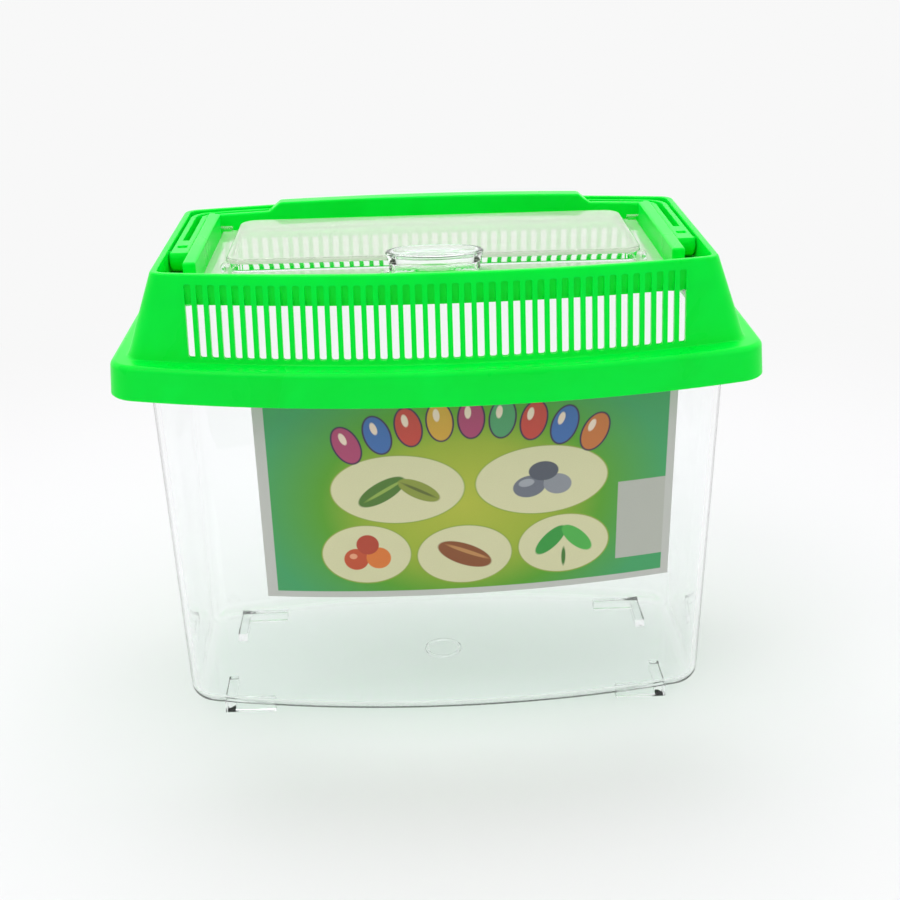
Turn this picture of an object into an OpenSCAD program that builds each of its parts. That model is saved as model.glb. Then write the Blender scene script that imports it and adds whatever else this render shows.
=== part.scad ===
// Small plastic pet keeper: a clear tub with a slotted push-on lid, a clear
// hinged hatch and a swinging carry handle.
// Units are millimetres. +Z is up, the front is towards -Y, and the origin is
// the centre of the footprint on the surface that the feet stand on.

/* [Tub] */
// Length of the tub over its end walls, at the top
tub_len = 161.2; // [140:1:200]
// Depth of the tub over its bowed walls, at the top
tub_depth = 95.4; // [88:1:120]
// Height of the tub, from the feet to the top of its flange
tub_h = 117.6; // [100:1:150]
// Length of the tub at its floor
base_len = 158.2; // [138:1:160]
// Depth of the tub over its bowed walls, at its floor
base_depth = 75.9; // [70:1:88]
// Radius of the bow of the front and rear walls, at the top
tub_bow_r = 280; // [250:10:400]
// Radius of the bow of the front and rear walls, at the floor
base_bow_r = 320; // [250:10:400]
// Radius of the tub's upright corners
tub_corner_r = 9; // [8:0.5:14]
// Thickness of the tub's walls
tub_wall = 1.8; // [1.2:0.1:2.6]
// Thickness of the floor
floor_t = 2; // [1.4:0.1:3]
// Radius between the floor and the walls, outside
floor_r = 5; // [3:0.5:7]
// Width of the flange round the tub's mouth
flange_w = 6.5; // [5:0.1:9]
// Thickness of the flange
flange_t = 1.8; // [1.2:0.1:2.4]
// Height of the lip that hangs from the flange's edge
lip_h = 3.2; // [2:0.1:5]
// Thickness of the lip
lip_t = 1.4; // [1:0.1:2]

/* [Feet] */
// Height of the feet
foot_h = 3; // [2:0.1:5]
// Width of a foot's arms
foot_w = 3; // [2:0.1:4]
// Length of a foot's arms
foot_arm = 15.5; // [8:0.1:18]
// Distance over the feet, along the length
feet_len = 136.8; // [110:1:138]
// Distance over the feet, along the depth
feet_depth = 57.6; // [40:1:58]
// Radius of the ring round the moulding gate, under the floor
gate_r = 5.4; // [4:0.1:8]

/* [Lid] */
// Thickness of the lid's walls and deck
lid_t = 1.6; // [1.2:0.1:2]
// Height of the skirt
skirt_h = 9.6; // [8:0.1:12]
// Amount that the skirt spreads towards its lower edge
skirt_draft = 0.8; // [0.4:0.1:1.6]
// Radius of the skirt's upright corners
skirt_corner_r = 9; // [7:0.5:12]
// Width of the ledge between the skirt and the end walls
ledge_end = 5.2; // [3:0.1:6]
// Width of the ledge between the skirt and the long walls
ledge_side = 6.6; // [4:0.1:7]
// Height of the crown's rim above the ledge
crown_h = 23.6; // [20:0.1:30]
// Amount that the end walls lean in, from the ledge to the rim
lean_end = 8.4; // [4:0.1:12]
// Amount that the long walls lean in, from the ledge to the rim
lean_side = 4.8; // [3:0.1:7]
// Radius of the bow of the rim's long sides
rim_bow_r = 344; // [280:2:420]
// Radius of the rim's corners
rim_corner_r = 4; // [3:0.5:6]
// Width of the rim's top edge
rim_w = 1.7; // [1.4:0.1:2.2]
// Thickness of the pan's wall
pan_wall = 1.4; // [1.2:0.1:1.6]
// Depth of the pan inside the rim
pan_depth = 6.8; // [6.4:0.1:8]
// Width of the two rails beside the hatch
rail_w = 3.6; // [3:0.1:5]
// Height of the rails above the rim
rail_rise = 0.6; // [0:0.1:1]
// Width of the hollow under each rail
rail_core = 1; // [0.6:0.1:1.2]
// Depth of the hinge bores in the rails
hinge_bore = 1.7; // [1.6:0.1:1.9]
// Number of crush ribs inside each long side of the skirt
rib_count = 5; // [3:2:7]
// Distance from one crush rib to the next
rib_pitch = 30; // [15:1:36]
// Width of a crush rib
rib_w = 1.2; // [0.8:0.1:2]
// Length of a crush rib
rib_len = 5; // [3:0.1:6]
// Gap between a crush rib and the flange's edge
rib_gap = 0.25; // [0.2:0.05:0.3]

/* [Vent slots] */
// Number of slots in each long wall
slot_count = 42; // [20:1:43]
// Distance from one slot to the next
slot_pitch = 3.22; // [2.8:0.02:3.3]
// Width of a slot
slot_w = 1.85; // [1.2:0.05:2]
// Plain wall below the slots
slot_foot = 1.4; // [1:0.1:4]
// Plain wall above the slots
slot_head = 2.6; // [2:0.1:5]
// Bevel at the corners of a slot
slot_bevel = 0.4; // [0.2:0.05:0.5]

/* [Hatch] */
// Thickness of the hatch
hatch_t = 1.6; // [1.2:0.1:2]
// Distance from the hinge to the hatch's front edge
hatch_reach = 63.5; // [56:0.5:64]
// Distance of the hinge behind the middle of the lid
hinge_y = 29; // [27:0.1:29.5]
// Height of the hinge above the hatch's lower face
hinge_rise = 1.8; // [1.6:0.1:2.2]
// Radius of the hinge pins
hinge_pin_r = 1.2; // [0.9:0.1:1.3]
// Length of the raised window
window_len = 116.5; // [90:0.5:118]
// Depth of the raised window
window_depth = 48; // [40:0.5:49]
// Distance from the hinge to the raised window
window_back = 1.2; // [1:0.1:3]
// Height of the raised window above the hatch
window_rise = 3.5; // [2.4:0.1:3.8]
// Radius of the window's corners
window_corner_r = 5; // [3:0.5:8]
// Length of the knob
knob_len = 27; // [20:0.5:32]
// Depth of the knob
knob_depth = 13; // [9:0.5:13]
// Height of the knob above the hatch
knob_h = 6.2; // [5:0.1:7]
// Depth of the dish in the knob's top
knob_dish = 1.6; // [0.8:0.1:2.2]
// Width of the lip round the dish
knob_lip = 1.5; // [1:0.1:2]
// Amount that the knob's waist lies inside its top
knob_waist = 1; // [0.4:0.1:1.6]
// Radius of the stop nubs in front of the window
nub_r = 1.5; // [1:0.1:1.8]
// Distance from the window's front to the middle of each stop nub
nub_gap = 3; // [2:0.1:4]
// Radius of the deck opening's corners
opening_corner_r = 4; // [2:0.5:6]
// Width of the deck's edge under the hatch's sides
seat_side = 2; // [1.4:0.1:3]
// Width of the deck's edge under the hatch's front
seat_front = 3.5; // [2:0.1:5]
// Width of the deck's edge under the hatch's rear
seat_rear = 2.5; // [2:0.1:5]

/* [Handle] */
// Width of the handle's strap
strap_w = 5.4; // [4.6:0.1:6]
// Radius of the strap's outer corners
strap_corner_r = 7; // [6.5:0.5:12]
// Width of the groove in the strap
groove_w = 1.8; // [1.2:0.1:2.4]
// Thickness of the web under the groove
groove_web = 1.6; // [1.2:0.1:2.4]
// Length of the raised grip
grip_len = 93; // [80:1:110]
// Height of the grip above the strap
grip_rise = 2.6; // [1.5:0.1:3]
// Length of each ramp at the grip's ends
grip_ramp = 4; // [2:0.5:8]
// Distance of the pivots in front of the middle of the lid
pivot_front = 10.5; // [6:0.5:12]
// Radius of the strap's ends, about the pivots
knuckle_r = 4; // [3.6:0.1:4.4]
// Length of the plain pad from each pivot to the groove
pad_len = 10.5; // [6:0.5:14]
// Width and length of the recess in each pad
pad_recess = 2.6; // [1.6:0.1:3]
// Depth of the recess in each pad
pad_recess_t = 1; // [0.4:0.1:1.4]
// Radius of the pivot pins
pivot_pin_r = 1.6; // [1.2:0.1:1.7]
// Length that each pivot pin reaches into the lid's wall
pivot_pin_len = 1.5; // [1:0.1:1.8]

/* [Label] */
// Width of the label
label_w = 117.6; // [90:0.1:118]
// Height of the label's lower edge
label_z = 46.1; // [30:0.1:50]
// Distance from the flange's lip down to the label's upper edge
label_drop = 1.6; // [1.2:0.1:2.6]
// Distance of the label's middle to the right of the tub's middle
label_shift = 7.4; // [-12:0.2:12]
// Tilt of the label, its right side up, in degrees
label_tilt = 0.8; // [0:0.1:1]
// Thickness of the label
label_t = 0.25; // [0.15:0.05:0.4]

/* [Fits] */
// Gap between the flange's edge and the skirt
lid_gap = 0.5; // [0.35:0.05:0.9]
// Gap between faces that rest on each other
seat_gap = 0.2; // [0.1:0.05:0.3]
// Gap on each side of the hatch and of the handle
side_gap = 0.45; // [0.3:0.05:0.6]
// Gap round each hinge or pivot pin
pin_gap = 0.25; // [0.15:0.05:0.35]
// Gap between the label and the wall behind it
label_gap = 0.1; // [0.08:0.01:0.15]

/* [Hidden] */
$fn = 48;
EPS = 0.01;
OVER = 2; // how far a cut runs past a face
edge_r = 0.4; // chamfer of the rim's outer edge
skirt_round = 1.5; // rounding of the skirt's top edge
CLEAR = [0.86, 0.94, 0.95, 0.45];
GREEN = [0.02, 0.83, 0.16];
PRINT = [0.30, 0.62, 0.22];
BOW_STEPS = 8; // facets in a quarter of a bowed side
CORNER_STEPS = 5; // facets in a corner
LABEL_STEPS = 24;
ROUND_STEPS = 4; // facets in a rounded edge

// Heights
wall_top = tub_h - flange_t;
ledge_z = tub_h + seat_gap + lid_t;
skirt_z = ledge_z - skirt_h;
rim_z = ledge_z + crown_h;
deck_z = rim_z - pan_depth;
rail_z = rim_z + rail_rise;
hatch_z = deck_z + seat_gap;
hinge_z = hatch_z + hinge_rise;
strap_low = deck_z + seat_gap;
strap_h = pan_depth - 2 * seat_gap - edge_r;
pivot_z = strap_low + knuckle_r;
pivot_y = -pivot_front;

// Half lengths and half depths of the lid's outlines
skirt_out = flange_w + lid_gap + lid_t;
skirt_a = tub_len / 2 + skirt_out;
skirt_y = tub_depth / 2 + skirt_out;
skirt_bow_r = tub_bow_r + skirt_out;
flange_corner_r = skirt_corner_r - lid_gap - lid_t;
foot_a = skirt_a + skirt_draft - ledge_end;
foot_y = skirt_y + skirt_draft - ledge_side;
rim_a = foot_a - lean_end;
rim_y = foot_y - lean_side;
pan_a = rim_a - rim_w;
pan_y = rim_y - rim_w;
foot_corner_r = rim_corner_r + 2;

// Handle and rails
strap_a = pan_a - side_gap;
strap_y = pan_y - side_gap - 0.15;
rail_out = strap_a - strap_w - side_gap;
rail_in = rail_out - rail_w;
strap_inner_r = max(strap_corner_r - strap_w, 1);
rail_end = corner_y(strap_a - strap_w, strap_y - strap_w, rim_bow_r, strap_inner_r, rail_out) - 1;
hatch_a = rail_in - side_gap;
hatch_front = hinge_y - hatch_reach;
hatch_back = hinge_y + 0.6;
window_y1 = hinge_y - window_back;
window_y0 = window_y1 - window_depth;
knob_y = window_y0 - knob_depth / 2 + 1;

// ---- outlines and lofts ----

// Half depth of a bowed side of radius r at a distance x from the middle
function bow_y(mid, r, x) = mid - r + sqrt(r * r - x * x);

// Half depth of a bowed rectangle with corners of radius r, at a distance x that lies in a corner
function corner_y(a, mid, bow, r, x) =
    let (turn = asin((a - r) / (bow - r)), cx = a - r)
    mid - bow + (bow - r) * cos(turn) + sqrt(r * r - (x - cx) * (x - cx));

// A quarter of a bowed rectangle, from the middle of the long side to the end
function quarter(a, mid, bow, r) =
    let (turn = asin((a - r) / (bow - r)), cy = mid - bow + (bow - r) * cos(turn))
    concat(
        [for (i = [0:BOW_STEPS - 1]) let (t = turn * i / BOW_STEPS)
            [bow * sin(t), mid - bow + bow * cos(t)]],
        [for (i = [0:CORNER_STEPS]) let (t = turn + (90 - turn) * i / CORNER_STEPS)
            [a - r + r * sin(t), cy + r * cos(t)]]);

// The whole bowed rectangle, clockwise from above
function bowed(a, mid, bow, r) =
    let (q = quarter(a, mid, bow, r), n = len(q))
    concat(q,
        [for (i = [n - 1:-1:0]) [q[i].x, -q[i].y]],
        [for (i = [1:n - 1]) [-q[i].x, -q[i].y]],
        [for (i = [n - 1:-1:1]) [-q[i].x, q[i].y]]);

// A rectangle with round corners, clockwise from above
function rounded(x0, x1, y0, y1, r) =
    [for (c = [[x1 - r, y1 - r, 0], [x1 - r, y0 + r, 90], [x0 + r, y0 + r, 180], [x0 + r, y1 - r, 270]])
        for (i = [0:CORNER_STEPS]) let (t = c.z + 90 * i / CORNER_STEPS)
            [c.x + r * sin(t), c.y + r * cos(t)]];

// An ellipse, clockwise from above
function ellipse(rx, ry, y) = [for (i = [0:31]) [rx * sin(i * 11.25), y + ry * cos(i * 11.25)]];

// Lifts a flat outline to height z
function at(outline, z) = [for (p = outline) [p.x, p.y, z]];

// The triangles between neighbouring rings of n points, and the caps of the first and the last
function skin_faces(n, last) = concat(
    [[for (i = [n - 1:-1:0]) i]],
    [for (k = [0:last - 1], i = [0:n - 1]) let (j = (i + 1) % n)
        [k * n + i, k * n + j, (k + 1) * n + j]],
    [for (k = [0:last - 1], i = [0:n - 1]) let (j = (i + 1) % n)
        [k * n + i, (k + 1) * n + j, (k + 1) * n + i]],
    [[for (i = [0:n - 1]) last * n + i]]);

// A solid through rings that have as many points each, from the lowest up
module skin(rings) {
    polyhedron(
        points = [for (ring = rings) each ring],
        faces = skin_faces(len(rings[0]), len(rings) - 1));
}

// ---- tub ----

function tub_share(z) = (z - foot_h) / (tub_h - foot_h);
function tub_a(z) = base_len / 2 + (tub_len - base_len) / 2 * tub_share(z);
function tub_y(z) = base_depth / 2 + (tub_depth - base_depth) / 2 * tub_share(z);
function tub_bow(z) = base_bow_r + (tub_bow_r - base_bow_r) * tub_share(z);

// The tub's outline at height z, moved out by a distance
function tub_ring(z, out) =
    at(bowed(tub_a(z) + out, tub_y(z) + out, tub_bow(z) + out, tub_corner_r + out), z);

// Rings that round an edge of radius r between a floor at height z and a wall
function floor_rings(z, r, out) =
    [for (i = [0:ROUND_STEPS]) let (t = 90 * i / ROUND_STEPS)
        tub_ring(z + r * (1 - cos(t)), out - r * (1 - sin(t)))];

module foot(x, y) {
    translate([x, y, 0]) mirror([x < 0 ? 1 : 0, 0, 0]) mirror([0, y < 0 ? 1 : 0, 0])
        difference() {
            translate([-foot_arm, -foot_arm, 0]) cube([foot_arm, foot_arm, foot_h + floor_t - EPS]);
            translate([-foot_arm - OVER, -foot_arm - OVER, -OVER])
                cube([foot_arm - foot_w + OVER, foot_arm - foot_w + OVER, 2 * foot_h + floor_t + OVER]);
        }
}

module tub_feet() {
    for (sx = [-1, 1], sy = [-1, 1]) foot(sx * feet_len / 2, sy * feet_depth / 2);
}

module tub_gate_ring() {
    edge = 0.5; // half width of the ring, and its height
    translate([0, 0, foot_h - edge])
        difference() {
            cylinder(r = gate_r + edge, h = edge + floor_t / 2);
            translate([0, 0, -OVER]) cylinder(r = gate_r - edge, h = 2 * OVER + floor_t);
        }
}

// The flange's outline, moved in by a distance
function flange_outline(in) =
    bowed(tub_len / 2 + flange_w - in, tub_depth / 2 + flange_w - in,
        tub_bow_r + flange_w - in, flange_corner_r - in);

module tub_flange() {
    difference() {
        linear_extrude_at(wall_top - lip_h, tub_h) polygon(flange_outline(0));
        linear_extrude_at(wall_top - lip_h - OVER, wall_top) polygon(flange_outline(lip_t));
    }
}

module tub() {
    color(CLEAR) {
        difference() {
            union() {
                skin(concat(floor_rings(foot_h, floor_r, 0), [tub_ring(tub_h - EPS, 0)]));
                tub_flange();
            }
            skin(concat(
                floor_rings(foot_h + floor_t, max(floor_r - tub_wall, 1), -tub_wall),
                [tub_ring(tub_h + OVER, -tub_wall)]));
        }
        tub_feet();
        tub_gate_ring();
    }
}

// ---- label ----

// A point on the front wall, moved out by a distance
function front_point(x, z, out) = [x, -bow_y(tub_y(z) + out, tub_bow(z) + out, x), z];

// One upright edge of the label: inside low, inside high, outside high, outside low
function label_edge(x) =
    let (
        rise = (x - label_shift) * tan(label_tilt),
        z0 = label_z + rise,
        z1 = wall_top - lip_h - label_drop + rise,
        far = label_gap + label_t)
    [front_point(x, z0, label_gap), front_point(x, z1, label_gap),
        front_point(x, z1, far), front_point(x, z0, far)];

module label() {
    color(PRINT)
        skin([for (i = [0:LABEL_STEPS]) label_edge(label_shift + label_w * (i / LABEL_STEPS - 0.5))]);
}

// ---- lid ----

// Share of the way from the ledge up to the rim
function crown_share(z) = (z - ledge_z) / crown_h;

// The crown's outline at height z, moved out by a distance
function crown_ring(z, out) =
    let (s = crown_share(z))
    at(bowed(
        foot_a - lean_end * s + out,
        foot_y - lean_side * s + out,
        skirt_bow_r + (rim_bow_r - skirt_bow_r) * s + out,
        foot_corner_r + (rim_corner_r - foot_corner_r) * s + out), z);

// The skirt's outline at height z, moved out by a distance; it spreads below the tub's flange
function skirt_ring(z, out) =
    let (d = out + skirt_draft * (ledge_z - z) / skirt_h)
    at(bowed(skirt_a + d, skirt_y + d, skirt_bow_r + d, skirt_corner_r + d), z);

// Rings that round the skirt's top edge
function skirt_top_rings() =
    [for (i = [0:ROUND_STEPS]) let (t = 90 * i / ROUND_STEPS)
        skirt_ring(ledge_z - skirt_round * (1 - sin(t)), -skirt_round * (1 - cos(t)))];

module lid_skirt() {
    difference() {
        skin(concat([skirt_ring(skirt_z, 0)], skirt_top_rings()));
        skin([
            skirt_ring(skirt_z - OVER, -lid_t),
            skirt_ring(ledge_z - lid_t, -lid_t)]);
        skin([
            crown_ring(ledge_z - lid_t - OVER, -lid_t),
            crown_ring(ledge_z + OVER, -lid_t)]);
    }
}

module lid_crown() {
    difference() {
        skin([
            crown_ring(ledge_z - lid_t / 2, 0),
            crown_ring(rim_z - edge_r, 0),
            crown_ring(rim_z, -edge_r)]);
        skin([
            crown_ring(ledge_z - lid_t - OVER, -lid_t),
            crown_ring(rim_z - lid_t, -lid_t)]);
    }
}

// The outline of the pan inside the rim, moved out by a distance
function pan_outline(out) =
    bowed(pan_a + out, pan_y + out, rim_bow_r + out, rim_corner_r - 1 + out);

module lid_pan() {
    linear_extrude_at(deck_z - lid_t, rim_z - edge_r) polygon(pan_outline(pan_wall));
}

module linear_extrude_at(z0, z1) {
    translate([0, 0, z0]) linear_extrude(z1 - z0) children();
}

module lid_rail(side) {
    difference() {
        translate([side * (rail_in + rail_w / 2), 0, 0])
            linear_extrude_at(deck_z - lid_t, rail_z)
                polygon(rounded(-rail_w / 2, rail_w / 2, -rail_end, rail_end, 0.8));
        translate([side * (rail_in + rail_w / 2), 0, 0])
            linear_extrude_at(deck_z - lid_t - OVER, rail_z - lid_t)
                square([rail_core, 2 * (rail_end - lid_t)], center = true);
    }
}

// The slit and the bore that take one of the hatch's hinge pins
module hinge_socket(side) {
    r = hinge_pin_r + pin_gap;
    slit = 0.7 * r; // half width of the slit that the pin snaps down through
    start = OVER / 2;
    translate([side * (rail_in - start), hinge_y, hinge_z]) rotate([0, side * 90, 0])
        cylinder(r = r, h = start + hinge_bore);
    translate([side > 0 ? rail_in - start : -rail_in - hinge_bore, hinge_y - slit, hinge_z])
        cube([start + hinge_bore, 2 * slit, rail_z - hinge_z + OVER]);
}

// The blind bore that takes one of the handle's pivot pins
module pivot_socket(side) {
    translate([side * (pan_a - OVER / 2), pivot_y, pivot_z]) rotate([0, side * 90, 0])
        cylinder(r = pivot_pin_r + pin_gap, h = OVER / 2 + pivot_pin_len - side_gap + pin_gap);
}

module slot_shape() {
    low = ledge_z + slot_foot;
    high = rim_z - slot_head;
    w = slot_w / 2;
    b = slot_bevel;
    polygon([[-w, low + b], [-w + b, low], [w - b, low], [w, low + b],
        [w, high - b], [w - b, high], [-w + b, high], [-w, high - b]]);
}

// Slots in both long walls; their backs stop short of the pan's inner face
module lid_slots() {
    for (i = [0:slot_count - 1]) {
        x = slot_pitch * (i - (slot_count - 1) / 2);
        back = bow_y(pan_y + pan_wall, rim_bow_r + pan_wall, abs(x) + slot_w / 2) + 0.1;
        reach = foot_y - back + OVER;
        for (side = [-1, 1])
            translate([x, side > 0 ? back + reach : -back, 0])
                rotate([90, 0, 0]) linear_extrude(reach) slot_shape();
    }
}

// The opening in the deck, under the hatch
module deck_opening() {
    linear_extrude_at(deck_z - lid_t - OVER, deck_z + OVER)
        polygon(rounded(-hatch_a + seat_side, hatch_a - seat_side,
            hatch_front + seat_front, hinge_y - seat_rear, opening_corner_r));
}

// Crush ribs inside the skirt, which centre the lid on the flange
module lid_ribs() {
    depth = lid_gap - rib_gap;
    root = lid_t / 2;
    for (i = [0:rib_count - 1], side = [-1, 1]) {
        x = (i - (rib_count - 1) / 2) * rib_pitch;
        y = bow_y(skirt_y - lid_t, skirt_bow_r - lid_t, abs(x) + rib_w / 2);
        translate([x - rib_w / 2, side > 0 ? y - depth : -y - root, ledge_z - lid_t - rib_len])
            cube([rib_w, depth + root, rib_len + root]);
    }
}

module lid() {
    color(GREEN)
        difference() {
            union() {
                lid_skirt();
                difference() {
                    union() {
                        lid_crown();
                        lid_pan();
                    }
                    linear_extrude_at(deck_z, rim_z + OVER) polygon(pan_outline(0));
                    deck_opening();
                }
                lid_rail(-1);
                lid_rail(1);
                lid_ribs();
            }
            lid_slots();
            for (side = [-1, 1]) {
                hinge_socket(side);
                pivot_socket(side);
            }
        }
}

// ---- hatch ----

// The raised window's outline, moved out by a distance
function window_outline(out) =
    rounded(-window_len / 2 - out, window_len / 2 + out, window_y0 - out, window_y1 + out,
        max(window_corner_r + out, 0.6));

module window_outside() {
    z = hatch_z + hatch_t;
    skin([
        at(window_outline(0.5), z - hatch_t / 2),
        at(window_outline(0.5), z),
        at(window_outline(0), z + window_rise - 0.6),
        at(window_outline(-0.2), z + window_rise - 0.2),
        at(window_outline(-0.6), z + window_rise)]);
}

module window_inside() {
    z = hatch_z + window_rise;
    skin([
        at(window_outline(-hatch_t + 0.5), hatch_z - OVER),
        at(window_outline(-hatch_t + 0.5), hatch_z),
        at(window_outline(-hatch_t), z)]);
}

// A ring of the knob: its outline moved in by a distance, at a height above the hatch
function knob_ring(in, h) =
    at(ellipse(knob_len / 2 - in, knob_depth / 2 - in, knob_y), hatch_z + hatch_t + h);

module knob_outside() {
    skin([
        knob_ring(knob_waist, -hatch_t / 2),
        knob_ring(knob_waist, knob_h * 0.35),
        knob_ring(knob_waist / 2, knob_h * 0.65),
        knob_ring(0, knob_h - 0.9),
        knob_ring(0, knob_h - 0.5),
        knob_ring(0.5, knob_h)]);
}

module knob_dish() {
    skin([
        knob_ring(knob_lip + 2.1, knob_h - knob_dish),
        knob_ring(knob_lip + 1, knob_h - 0.7 * knob_dish),
        knob_ring(knob_lip, knob_h),
        knob_ring(knob_lip, knob_h + OVER)]);
}

module knob_inside() {
    skin([
        knob_ring(knob_waist + hatch_t - 0.4, -hatch_t - OVER),
        knob_ring(knob_waist + hatch_t, knob_h - knob_dish - hatch_t)]);
}

module hatch_plate() {
    linear_extrude_at(hatch_z, hatch_z + hatch_t)
        polygon(rounded(-hatch_a, hatch_a, hatch_front, hatch_back, 0.6));
}

module hatch_nubs() {
    h = window_rise - nub_r + 0.3;
    for (side = [-1, 1])
        translate([side * (window_len - nub_r) / 2, window_y0 - nub_gap, hatch_z + hatch_t - EPS]) {
            cylinder(r = nub_r, h = h);
            translate([0, 0, h]) sphere(r = nub_r);
        }
}

module hatch_pins() {
    root = 3; // length of each pin's block on the hatch
    for (side = [-1, 1]) {
        translate([side * (hatch_a - root), hinge_y, hinge_z]) rotate([0, side * 90, 0])
            cylinder(r = hinge_pin_r, h = root + side_gap + hinge_bore - 0.4);
        translate([side > 0 ? hatch_a - root : -hatch_a, hinge_y - hinge_pin_r, hatch_z + hatch_t / 2])
            cube([root, hinge_pin_r + hatch_back - hinge_y, hinge_z - hatch_z - hatch_t / 2]);
    }
}

module hatch() {
    color(CLEAR)
        difference() {
            union() {
                hatch_plate();
                window_outside();
                knob_outside();
                hatch_nubs();
                hatch_pins();
            }
            window_inside();
            knob_inside();
            knob_dish();
        }
}

// ---- handle ----

// Half of a U-shaped strap: an outline inset by a distance, cut off at the pivot
module strap_outline(inset) {
    intersection() {
        polygon(bowed(strap_a - inset, strap_y - inset, rim_bow_r, max(strap_corner_r - inset, 1)));
        translate([-strap_a - OVER, pivot_y]) square([2 * strap_a + 2 * OVER, strap_y - pivot_y + OVER]);
    }
}

module strap_ring(inset0, inset1) {
    difference() {
        strap_outline(inset0);
        translate([0, -EPS]) strap_outline(inset1);
    }
}

// The groove runs along the arms and round the corners, up to the grip
module handle_groove() {
    edge = (strap_w - groove_w) / 2;
    linear_extrude_at(strap_low + groove_web, strap_low + strap_h + OVER)
        difference() {
            strap_ring(edge, strap_w - edge);
            square([grip_len + 2 * grip_ramp, 3 * strap_y], center = true);
            translate([-strap_a - OVER, pivot_y - OVER])
                square([2 * strap_a + 2 * OVER, pad_len + OVER]);
        }
}

// The grip's raised band, with a ramp at each end
module handle_grip() {
    half = grip_len / 2;
    top = strap_low + strap_h;
    intersection() {
        linear_extrude_at(strap_low, top + grip_rise) strap_ring(0, strap_w);
        translate([0, strap_y + OVER, 0]) rotate([90, 0, 0]) linear_extrude(strap_y + OVER)
            polygon([[-half - grip_ramp, top - 1], [half + grip_ramp, top - 1],
                [half + grip_ramp, top], [half, top + grip_rise - 0.3], [half - 1, top + grip_rise],
                [-half + 1, top + grip_rise], [-half, top + grip_rise - 0.3], [-half - grip_ramp, top]]);
    }
}

// The grip is cored from below
module handle_core() {
    edge = (strap_w - groove_w) / 2;
    linear_extrude_at(strap_low - OVER, strap_low + strap_h + grip_rise - groove_web)
        intersection() {
            strap_ring(edge, strap_w - edge);
            square([grip_len - 2 * grip_ramp, 3 * strap_y], center = true);
        }
}

// Round ends about the pivots, level with the strap's top, and the pivot pins
module handle_pivots() {
    for (side = [-1, 1])
        translate([side * (strap_a - strap_w), pivot_y, pivot_z]) {
            intersection() {
                rotate([0, side * 90, 0]) cylinder(r = knuckle_r, h = strap_w);
                translate([-strap_w, -knuckle_r, -knuckle_r])
                    cube([2 * strap_w, 2 * knuckle_r, strap_h]);
            }
            rotate([0, side * 90, 0]) cylinder(r = pivot_pin_r, h = strap_w + pivot_pin_len);
        }
}

// A shallow recess in the pad at each end of the strap
module handle_recesses() {
    for (side = [-1, 1])
        translate([side * (strap_a - strap_w / 2), pivot_y + pad_len / 3, strap_low + strap_h])
            cube([pad_recess, pad_recess, 2 * pad_recess_t], center = true);
}

module handle() {
    color(GREEN) {
        difference() {
            union() {
                linear_extrude_at(strap_low, strap_low + strap_h) strap_ring(0, strap_w);
                handle_grip();
            }
            handle_groove();
            handle_core();
            handle_recesses();
        }
        handle_pivots();
    }
}

tub();
label();
lid();
hatch();
handle();
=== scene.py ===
"""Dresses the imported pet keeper: clear tub and hatch, green lid and handle, printed label.

Shapes are worked out in millimetres, with +X along the length, +Y to the rear and +Z up, and are
written to meshes in metres. An outline is a bowed rectangle seen from above; most pieces are lofts
through such outlines at different heights, and their sizes are fields of the class that builds them.
"""

import logging
import math
from dataclasses import dataclass, field, replace
from enum import Enum
from typing import Sequence

import bmesh
import bpy
import numpy as np
from mathutils import Matrix, Vector


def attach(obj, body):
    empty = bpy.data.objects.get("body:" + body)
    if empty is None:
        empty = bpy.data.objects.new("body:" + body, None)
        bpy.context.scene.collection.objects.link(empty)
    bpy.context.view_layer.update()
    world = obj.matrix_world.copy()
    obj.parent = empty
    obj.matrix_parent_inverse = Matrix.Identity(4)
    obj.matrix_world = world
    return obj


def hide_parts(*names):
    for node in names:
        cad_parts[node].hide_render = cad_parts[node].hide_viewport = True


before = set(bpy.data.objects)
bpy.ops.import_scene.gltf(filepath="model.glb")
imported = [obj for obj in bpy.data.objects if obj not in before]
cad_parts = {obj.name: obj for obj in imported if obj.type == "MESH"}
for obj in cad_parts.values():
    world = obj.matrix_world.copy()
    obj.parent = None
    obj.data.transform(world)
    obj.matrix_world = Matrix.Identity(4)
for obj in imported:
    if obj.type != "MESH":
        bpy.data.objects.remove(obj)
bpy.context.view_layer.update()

log = logging.getLogger("pet_keeper")
logging.basicConfig(level=logging.INFO, format="%(name)s: %(message)s")

Array = np.ndarray
Piece = bpy.types.Object
Material = bpy.types.Material
Tree = bpy.types.NodeTree
Socket = bpy.types.NodeSocket
Pair = tuple[float, float]
Triple = tuple[float, float, float]
Quad = tuple[float, float, float, float]

MM = 0.001
STRAIGHT = 1e5  # bow radius, mm, at which a side is straight
LOSS = 2 * MM  # how much smaller a join may make a piece, m
MIN_CORNER = 0.25  # smallest corner radius of an outline, mm
BLENDED = ("length", "depth", "bow", "corner", "shift")  # the sizes of an outline


class Body(Enum):
    """The bodies that pieces ride on."""

    TUB = "tub"
    LID = "lid"
    HATCH = "hatch"
    HANDLE = "handle"


class Slot(Enum):
    """The record's material slots."""

    CLEAR = "clear_plastic"
    GREEN = "green_plastic"
    PRINT = "printed_label"


class Axis(Enum):
    """The axes that shapes are mirrored along."""

    X = 0
    Y = 1


class Join(Enum):
    """How a tool shape changes the piece it is joined to."""

    ADD = "UNION"
    CUT = "DIFFERENCE"


# ---- shapes ----


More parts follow.
